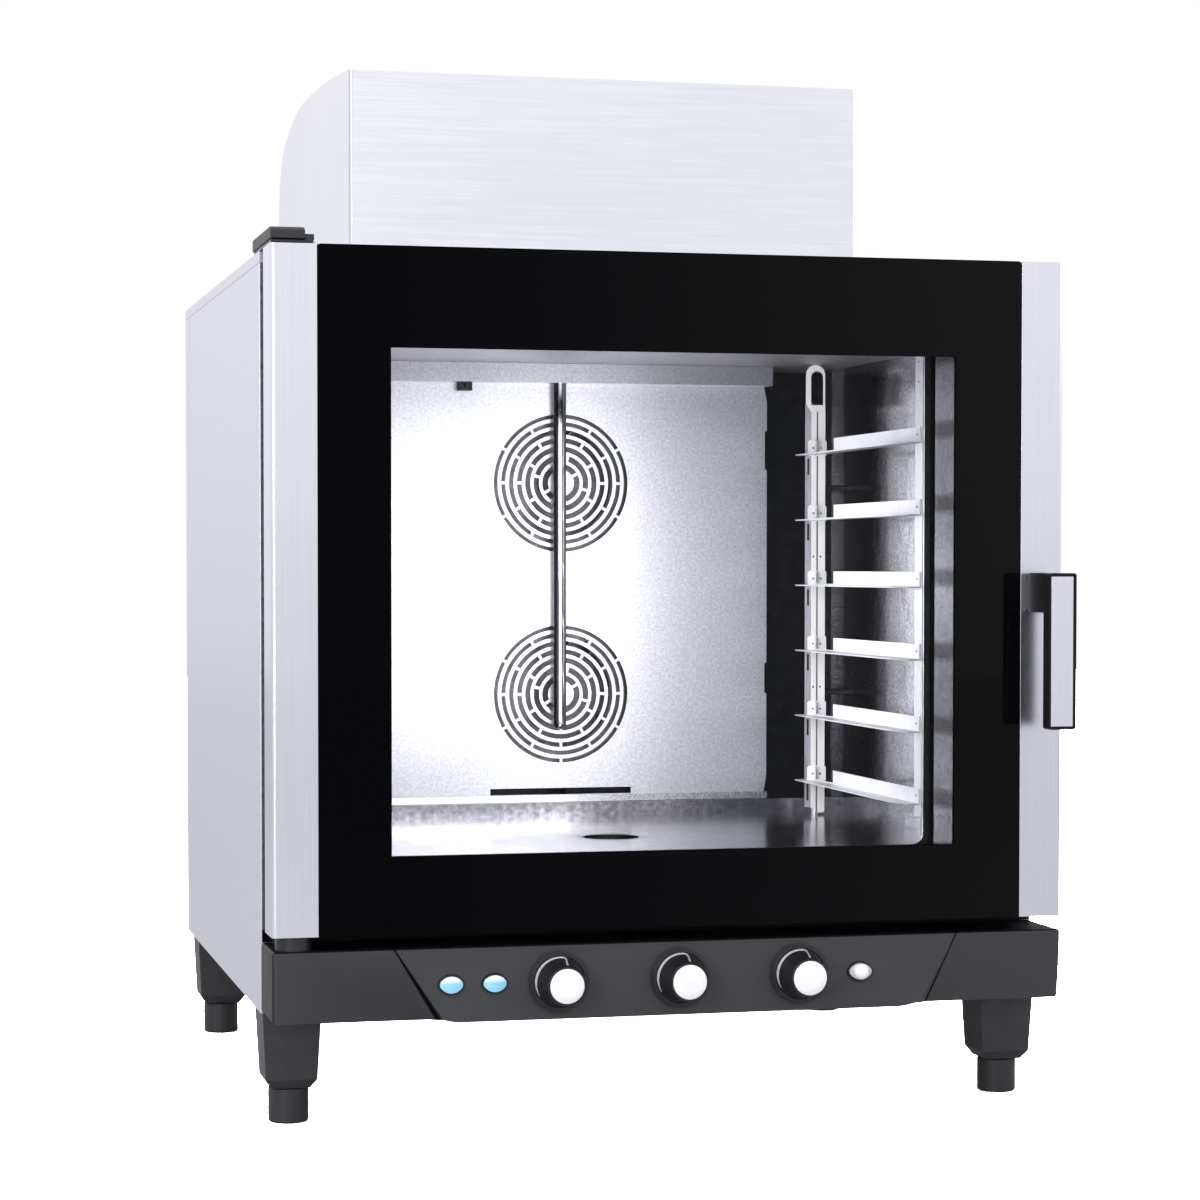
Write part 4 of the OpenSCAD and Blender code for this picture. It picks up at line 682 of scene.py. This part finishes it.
def makeScrewTree():
    # low domed head with a cross recess
    tree, entry, leave = newTree("crossScrew", [("Radius", "Float", 0.0038), ("Height", "Float", 0.0018),
                                                ("Recess", "Float", 0.0009), ("Material", "Material", None)])
    head = domeShape(tree, entry, 8, 20)
    bars = step(tree, "GeometryNodeJoinGeometry")
    long = combined(tree, "MULTIPLY", entry["Radius"], 1.15)
    deep = combined(tree, "MULTIPLY", entry["Height"], 1.1)
    for x, y in ((long, entry["Recess"]), (entry["Recess"], long)):
        bar = step(tree, "GeometryNodeMeshCube", [(asVector(tree, x, y, deep), "Size")])
        raised = step(tree, "GeometryNodeTransform",
                      [(bar.outputs[0], "Geometry"), (asVector(tree, 0, 0, entry["Height"]), "Translation")])
        tree.links.new(raised.outputs[0], bars.inputs[0])
    cut = step(tree, "GeometryNodeMeshBoolean",
               [(head, "Mesh 1"), (bars.outputs[0], "Mesh 2")], operation="DIFFERENCE", solver="EXACT")
    cut.inputs["Self Intersection"].default_value = True
    onPoints(tree, entry, leave, cut.outputs[0])
    return tree


def makeRivetTree():
    tree, entry, leave = newTree("domeRivet", [("Radius", "Float", 0.0014), ("Height", "Float", 0.0007),
                                               ("Material", "Material", None)])
    onPoints(tree, entry, leave, domeShape(tree, entry))
    return tree


def makeThreadTree():
    # a ridge wound round a stub
    tree, entry, leave = newTree("threadRidge", [("Radius", "Float", 0.0125), ("Length", "Float", 0.012),
                                                 ("Turns", "Float", 6), ("Ridge", "Float", 0.0007),
                                                 ("Material", "Material", None)])
    spiral = step(tree, "GeometryNodeCurveSpiral",
                  [(entry["Turns"], "Rotations"), (entry["Radius"], "Start Radius"),
                   (entry["Radius"], "End Radius"), (entry["Length"], "Height")], Resolution=28)
    section = step(tree, "GeometryNodeCurvePrimitiveCircle", [(entry["Ridge"], "Radius")], Resolution=5)
    tube = step(tree, "GeometryNodeCurveToMesh",
                [(spiral.outputs[0], "Curve"), (section.outputs[0], "Profile Curve")], Fill_Caps=True)
    onPoints(tree, entry, leave, tube.outputs[0])
    return tree


def makeRibTree():
    # grip ribs round a nut
    tree, entry, leave = newTree("nutRibs", [("Radius", "Float", 0.015), ("Length", "Float", 0.008),
                                             ("Count", "Int", 24), ("Rib", "Float", 0.0012),
                                             ("Material", "Material", None)])
    ring = step(tree, "GeometryNodeMeshCircle", [(entry["Count"], "Vertices"), (entry["Radius"], "Radius")])
    rib = step(tree, "GeometryNodeMeshCylinder", [(entry["Rib"], "Radius"), (entry["Length"], "Depth")],
               Vertices=8)
    ribs = step(tree, "GeometryNodeInstanceOnPoints",
                [(ring.outputs[0], "Points"), (rib.outputs[0], "Instance")])
    onPoints(tree, entry, leave, ribs.outputs[0])
    return tree


fittingTrees = {"screw": makeScrewTree(), "rivet": makeRivetTree(),
                "thread": makeThreadTree(), "rib": makeRibTree()}


def fitOn(name, kind, places, node, finish, **sizes):
    # places are (x, y, z) in mm with a facing each; sizes set the tree's named inputs
    mesh = bpy.data.meshes.new(name)
    mesh.from_pydata([at(*p) for p, facing in places], [], [])
    stored = mesh.attributes.new("facing", "FLOAT_VECTOR", "POINT")
    for i, (p, facing) in enumerate(places):
        stored.data[i].vector = facing
    ob = bpy.data.objects.new(name, mesh)
    bpy.context.scene.collection.objects.link(ob)
    tree = fittingTrees[kind]
    live = ob.modifiers.new(name, "NODES")
    live.node_group = tree
    sockets = {s.name: s.identifier for s in tree.interface.items_tree if s.item_type == "SOCKET"}
    for label, value in {**sizes, "Material": finishes[finish]}.items():
        live[sockets[label]] = value
    made = bpy.data.meshes.new_from_object(ob.evaluated_get(bpy.context.evaluated_depsgraph_get()))
    bpy.data.objects.remove(ob)
    made.name = name
    for polygon in made.polygons:
        polygon.use_smooth = True
    made.set_sharp_from_angle(angle=math.radians(35))
    linkPiece(name, made, bodyOf[node], finish)


def row(start, end, count):
    a, b = Vector(start), Vector(end)
    return [tuple(a + (b - a) * i / max(count - 1, 1)) for i in range(count)]


# screws of the back, the top cover and the hood's right side, each head's middle plane 0.1 mm off its sheet
rear, right, up, front = (0, 1, 0), (1, 0, 0), (0, 0, 1), (0, -1, 0)
backY, topZ, hoodX = 800.1, 914.1, 278.1
casingScrews = [(p, rear) for z in (128, 890) for p in row((-404, backY, z), (404, backY, z), 7)]
casingScrews += [(p, rear) for x in (-404, 404) for p in row((x, backY, 255), (x, backY, 763), 5)]
for start, end in ((-410, -330), (300, 410)):
    casingScrews += [(p, up) for p in row((start, 805, topZ), (end, 805, topZ), 3)]
casingScrews += [(p, up) for x in (-418, 418) for p in row((x, 200, topZ), (x, 700, topZ), 4)]
fitOn("casing_screws", "screw", casingScrews, "back_panel", "screw")
hoodScrews = [(p, right) for p in row((hoodX, 300, 926), (hoodX, 790, 926), 4)]
fitOn("hood_screws", "screw", hoodScrews, "hood_shell", "screw")

# pairs of rivets on the rear rack posts, single ones on the rails' front ends
rivets = []
firstLevel, levelPitch, levelCount = rackLevels
for side in (-1, 1):
    inward = (-side, 0, 0)
    for level in range(levelCount):
        z = firstLevel + levelPitch * level
        rivets += [((side * x, 465.2, z + 9), front) for x in (300.4, 310)]
        if level in (1, 3):
            rivets += [((side * x, 466.2, z + 36), front) for x in (301, 310)]
        rivets.append(((side * 301.5, 104, z + 10), inward))
    rivets += [((side * 303, 104, z), inward) for z in (790, 812)]
fitOn("rack_rivets", "rivet", rivets, "rack_posts", "rivet")

# threads of the connections, and the gland's grip
threads = {"gas_valve": ((140, 803, 189), 0.0126, "brass"),
           "water_valve": ((-4.5, 803, 867), 0.0126, "brass"),
           "drain_pipe": ((-12, 803, 137), 0.0159, "frame")}
for node, (place, radius, finish) in threads.items():
    fitOn(node + "_thread", "thread", [(place, rear)], node, finish, Radius=radius)
fitOn("gland_ribs", "rib", [((-300, 809, 177), rear)], "cable_gland", "cover", Radius=0.0132)
print("fittings placed")


# Faces of the rear rack posts: a flat strip with a loop at its top, a slanting fold, a groove, and collars at
# the rails. Places are (x, z) in mm, of the fold and the keyholes (x, y). A loop or slot adds its radius, and
# a collar has its left and right edge, how far it stands out and its cut corners.
postShape = {"front": 466.2, "thick": 0.8, "edges": (298.4, 316), "shoulder": (774, 786), "cut": 783,
             "foot": ((298.4, 289.5), (306.5, 283), (314.4, 283), (316, 285.5)),
             "loop": (303.4, 820.4, 12.2), "slot": (305.45, 817.2, 7.85), "slotFoot": 783.6,
             "fold": ((298.6, 466.3), (292, 472)), "groove": (304.8, 306.8),
             "collar": (293.6, 317.4, 1.0, 2.4), "collarEnds": (-1, 19), "keyholeEnds": (-24, -4),
             "keyhole": ((296.2, 468.2), (294.2, 469.9), (294.7, 470.5), (296.7, 468.8))}


def arcOf(centre, radius, start, end, count):
    turns = [math.radians(start + (end - start) * i / count) for i in range(count + 1)]
    return [(centre[0] + radius * math.cos(t), centre[1] + radius * math.sin(t)) for t in turns]


def plateMesh(name, side, outlines, front, thick):
    # flat plates seen from the front, one from each outline; an outline inside another is a hole
    curve = bpy.data.curves.new(name, "CURVE")
    curve.dimensions = "2D"
    curve.fill_mode = "BOTH"
    curve.extrude = thick / 2000
    for outline in outlines:
        spline = curve.splines.new("POLY")
        spline.points.add(len(outline) - 1)
        spline.use_cyclic_u = True
        for point, (x, z) in zip(spline.points, outline):
            point.co = (side * x / 1000, z / 1000, 0, 1)
    ob = bpy.data.objects.new(name, curve)
    bpy.context.scene.collection.objects.link(ob)
    mesh = bpy.data.meshes.new_from_object(ob.evaluated_get(bpy.context.evaluated_depsgraph_get()))
    bpy.data.objects.remove(ob)
    bm = bmesh.new()
    bm.from_mesh(mesh)
    for v in bm.verts:
        x, z, t = v.co
        v.co = (x, frontY + (front + thick / 2) / 1000 - t, z)
    bmesh.ops.remove_doubles(bm, verts=bm.verts, dist=2e-6)
    bmesh.ops.recalc_face_normals(bm, faces=bm.faces)
    bm.to_mesh(mesh)
    bm.free()
    mesh.name = name
    return mesh


def prismMesh(name, side, plan, *spans):
    # upright bars from one plan outline, each from a low to a high end
    bm = bmesh.new()
    for span in spans:
        rings = [[bm.verts.new(at(side * x, y, z)) for x, y in plan] for z in span]
        for i in range(len(plan)):
            k = (i + 1) % len(plan)
            bm.faces.new((rings[0][i], rings[0][k], rings[1][k], rings[1][i]))
        bm.faces.new(rings[0])
        bm.faces.new(rings[1][::-1])
    bmesh.ops.recalc_face_normals(bm, faces=bm.faces)
    mesh = bpy.data.meshes.new(name)
    bm.to_mesh(mesh)
    bm.free()
    return mesh


def trimTop(ob, behind, top):
    # takes off what stands above a height, behind a depth, and closes the cuts
    bm = bmesh.new()
    bm.from_mesh(ob.data)
    part = [f for f in bm.faces if f.calc_center_median().y > behind]
    around = list({v for f in part for v in f.verts}) + list({e for f in part for e in f.edges}) + part
    bmesh.ops.bisect_plane(bm, geom=around, plane_co=(0, 0, top), plane_no=(0, 0, 1), clear_outer=True)
    bmesh.ops.holes_fill(bm, edges=[e for e in bm.edges if e.is_boundary])
    bm.to_mesh(ob.data)
    bm.free()


def postFace(label, side, s):
    (lx, lz, lr), (sx, sz, sr) = s["loop"], s["slot"]
    (left, outer), (low, high), node = s["edges"], s["shoulder"], "rack_posts"

    def add(part, mesh, finish):
        linkPiece("post_" + part + "_" + label, mesh, bodyOf[node], finish)

    strip = [*s["foot"], (outer, low), (lx + lr, high), *arcOf((lx, lz), lr, 0, 180, 16), (lx - lr, high),
             (left, low)]
    slot = [(sx + sr, s["slotFoot"]), *arcOf((sx, sz), sr, 0, 180, 12), (sx - sr, s["slotFoot"])]
    # face and collars in a painted lit copy of the posts' steel, the fold and the groove in a painted shaded
    # copy
    add("face", plateMesh("postFace", side, [strip, slot], s["front"], s["thick"]), "face")
    x0, x1, proud, chamfer = s["collar"]
    levels = [firstLevel + levelPitch * i for i in range(levelCount)]
    collars = []
    for z in levels:
        a, b = (z + end for end in s["collarEnds"])
        collars.append([(x0 + chamfer, a), (x1 - chamfer, a), (x1, a + chamfer), (x1, b - chamfer),
                        (x1 - chamfer, b), (x0 + chamfer, b), (x0, b - chamfer), (x0, a + chamfer)])
    add("collars", plateMesh("postCollars", side, collars, s["front"] - proud, proud), "face")
    (ax, ay), (bx, by) = s["fold"]
    plan = [(ax, ay), (bx, by), (bx + s["thick"], by), (ax + s["thick"], ay)]
    add("fold", prismMesh("postFold", side, plan, (s["foot"][0][1], high)), "fold")
    keyholes = [tuple(z + end for end in s["keyholeEnds"]) for z in levels]
    # the keyholes as dark bars, painted shade in the holes
    add("slots", prismMesh("postSlots", side, s["keyhole"], *keyholes), "dark")
    gx, hx = s["groove"]
    y = s["front"] - 0.1
    plan = [(gx, y), (hx, y), (hx, y + 0.2), (gx, y + 0.2)]
    add("groove", prismMesh("postGroove", side, plan, (s["foot"][1][1], s["slotFoot"] - 8)), "fold")


trimTop(bpy.data.objects["rack_posts_finished"], frontY + 0.4, postShape["cut"] / 1000)
for side, label in ((-1, "left"), (1, "right")):
    postFace(label, side, postShape)

# Lip along the fan guard's foot as (x, z), and the plan of the block under the hinge cover as (x, y)
lip = [(-264, 296.5), (264, 296.5), (264, 304.6), (-264, 304.6)]
linkPiece("guard_lip", plateMesh("guardLip", 1, [lip], 536.6, 1.4), bodyOf["fan_guard"], "lip")
hingeBlock = ((-393.9, 1), (-384.6, 2.5), (-383.5, 30), (-393.9, 30))
linkPiece("hinge_block", prismMesh("hingeBlock", 1, hingeBlock, (917.2, 923.4)), bodyOf["hinge_plate_top"],
          "enamel")
print("rack faces, guard lip and hinge block made")


# Dark channels between the panes, at both sides of the window
channelShape = {"plan": ((307.4, 5.3), (311.4, 5.3), (311.4, 6.2), (308.3, 6.2), (304.8, 53.1), (312, 53.1),
                         (312, 54), (303.9, 54)), "ends": (284, 815)}
for side, label in ((-1, "left"), (1, "right")):
    channel = prismMesh("windowChannel", side, channelShape["plan"], channelShape["ends"])
    linkPiece("window_channel_" + label, channel, bodyOf["door_rails"], "channel")
print("window channels made")


# Floor, backdrop and lights
def paleStage():
    mat, tree, shader, vector = newMaterial("paleFloor")
    path = addNode(tree, "LightPath").outputs
    seen = combined(tree, "MAXIMUM", path["Is Camera Ray"], path["Is Transmission Ray"])
    colour = mixColours(tree, seen, (0.47, 0.47, 0.48), (12, 12, 12))
    tree.links.new(colour, shader.inputs["Base Color"])
    shader.inputs["Roughness"].default_value = 0.9
    shader.inputs["Specular IOR Level"].default_value = 0
    bm = bmesh.new()
    bmesh.ops.create_grid(bm, x_segments=1, y_segments=1, size=12)
    mesh = bpy.data.meshes.new("floor")
    bm.to_mesh(mesh)
    bm.free()
    mesh.materials.append(mat)
    ob = bpy.data.objects.new("floor", mesh)
    bpy.context.scene.collection.objects.link(ob)
    ob.location.z = -0.0005


def paleWorld():
    world = bpy.data.worlds.new("studio")
    bpy.context.scene.world = world
    world.use_nodes = True
    tree = world.node_tree
    background = tree.nodes["Background"]
    path = addNode(tree, "LightPath")
    coords = addNode(tree, "TexCoord")
    height = mapTo(tree, axesOf(tree, coords.outputs["Generated"])["Z"], -0.1, 0.45, 0, 1)
    soft = mixColours(tree, height, (0.74, 0.74, 0.76), (1.12, 1.12, 1.14))
    shown = mixColours(tree, path.outputs["Is Camera Ray"], soft, (1, 1, 1))
    tree.links.new(shown, background.inputs["Color"])
    background.inputs["Strength"].default_value = 1


# Area lights: place, what it looks at, width and height, and power in W
lights = {
    "keyLight": ((-2.8, -1.6, 2.8), (0, 0, 0.6), (2.2, 2.2), 48),
    "fillLight": ((3.4, -1.2, 2.0), (0, 0, 0.5), (2, 2), 12),
    "frontLight": ((-2.0, -2.9, 0.8), (0, 0, 0.3), (1.2, 0.8), 22),
    "chamberLight": (at(-25, 96, 560), at(-25, 540, 540), (0.30, 0.46), 2.8),
    "rackLight": (at(-335, 280, 560), at(300, 300, 560), (0.3, 0.46), 0.45),
}


def areaLight(name, place, target, size, power):
    light = bpy.data.lights.new(name, "AREA")
    light.shape = "RECTANGLE"
    light.size, light.size_y = size
    light.energy = power
    ob = bpy.data.objects.new(name, light)
    bpy.context.scene.collection.objects.link(ob)
    ob.location = place
    ob.rotation_euler = (Vector(target) - Vector(place)).to_track_quat("-Z", "Y").to_euler()


paleStage()
paleWorld()
for name, settings in lights.items():
    areaLight(name, *settings)
bpy.context.scene.view_settings.view_transform = "Standard"
print("stage and lights made")
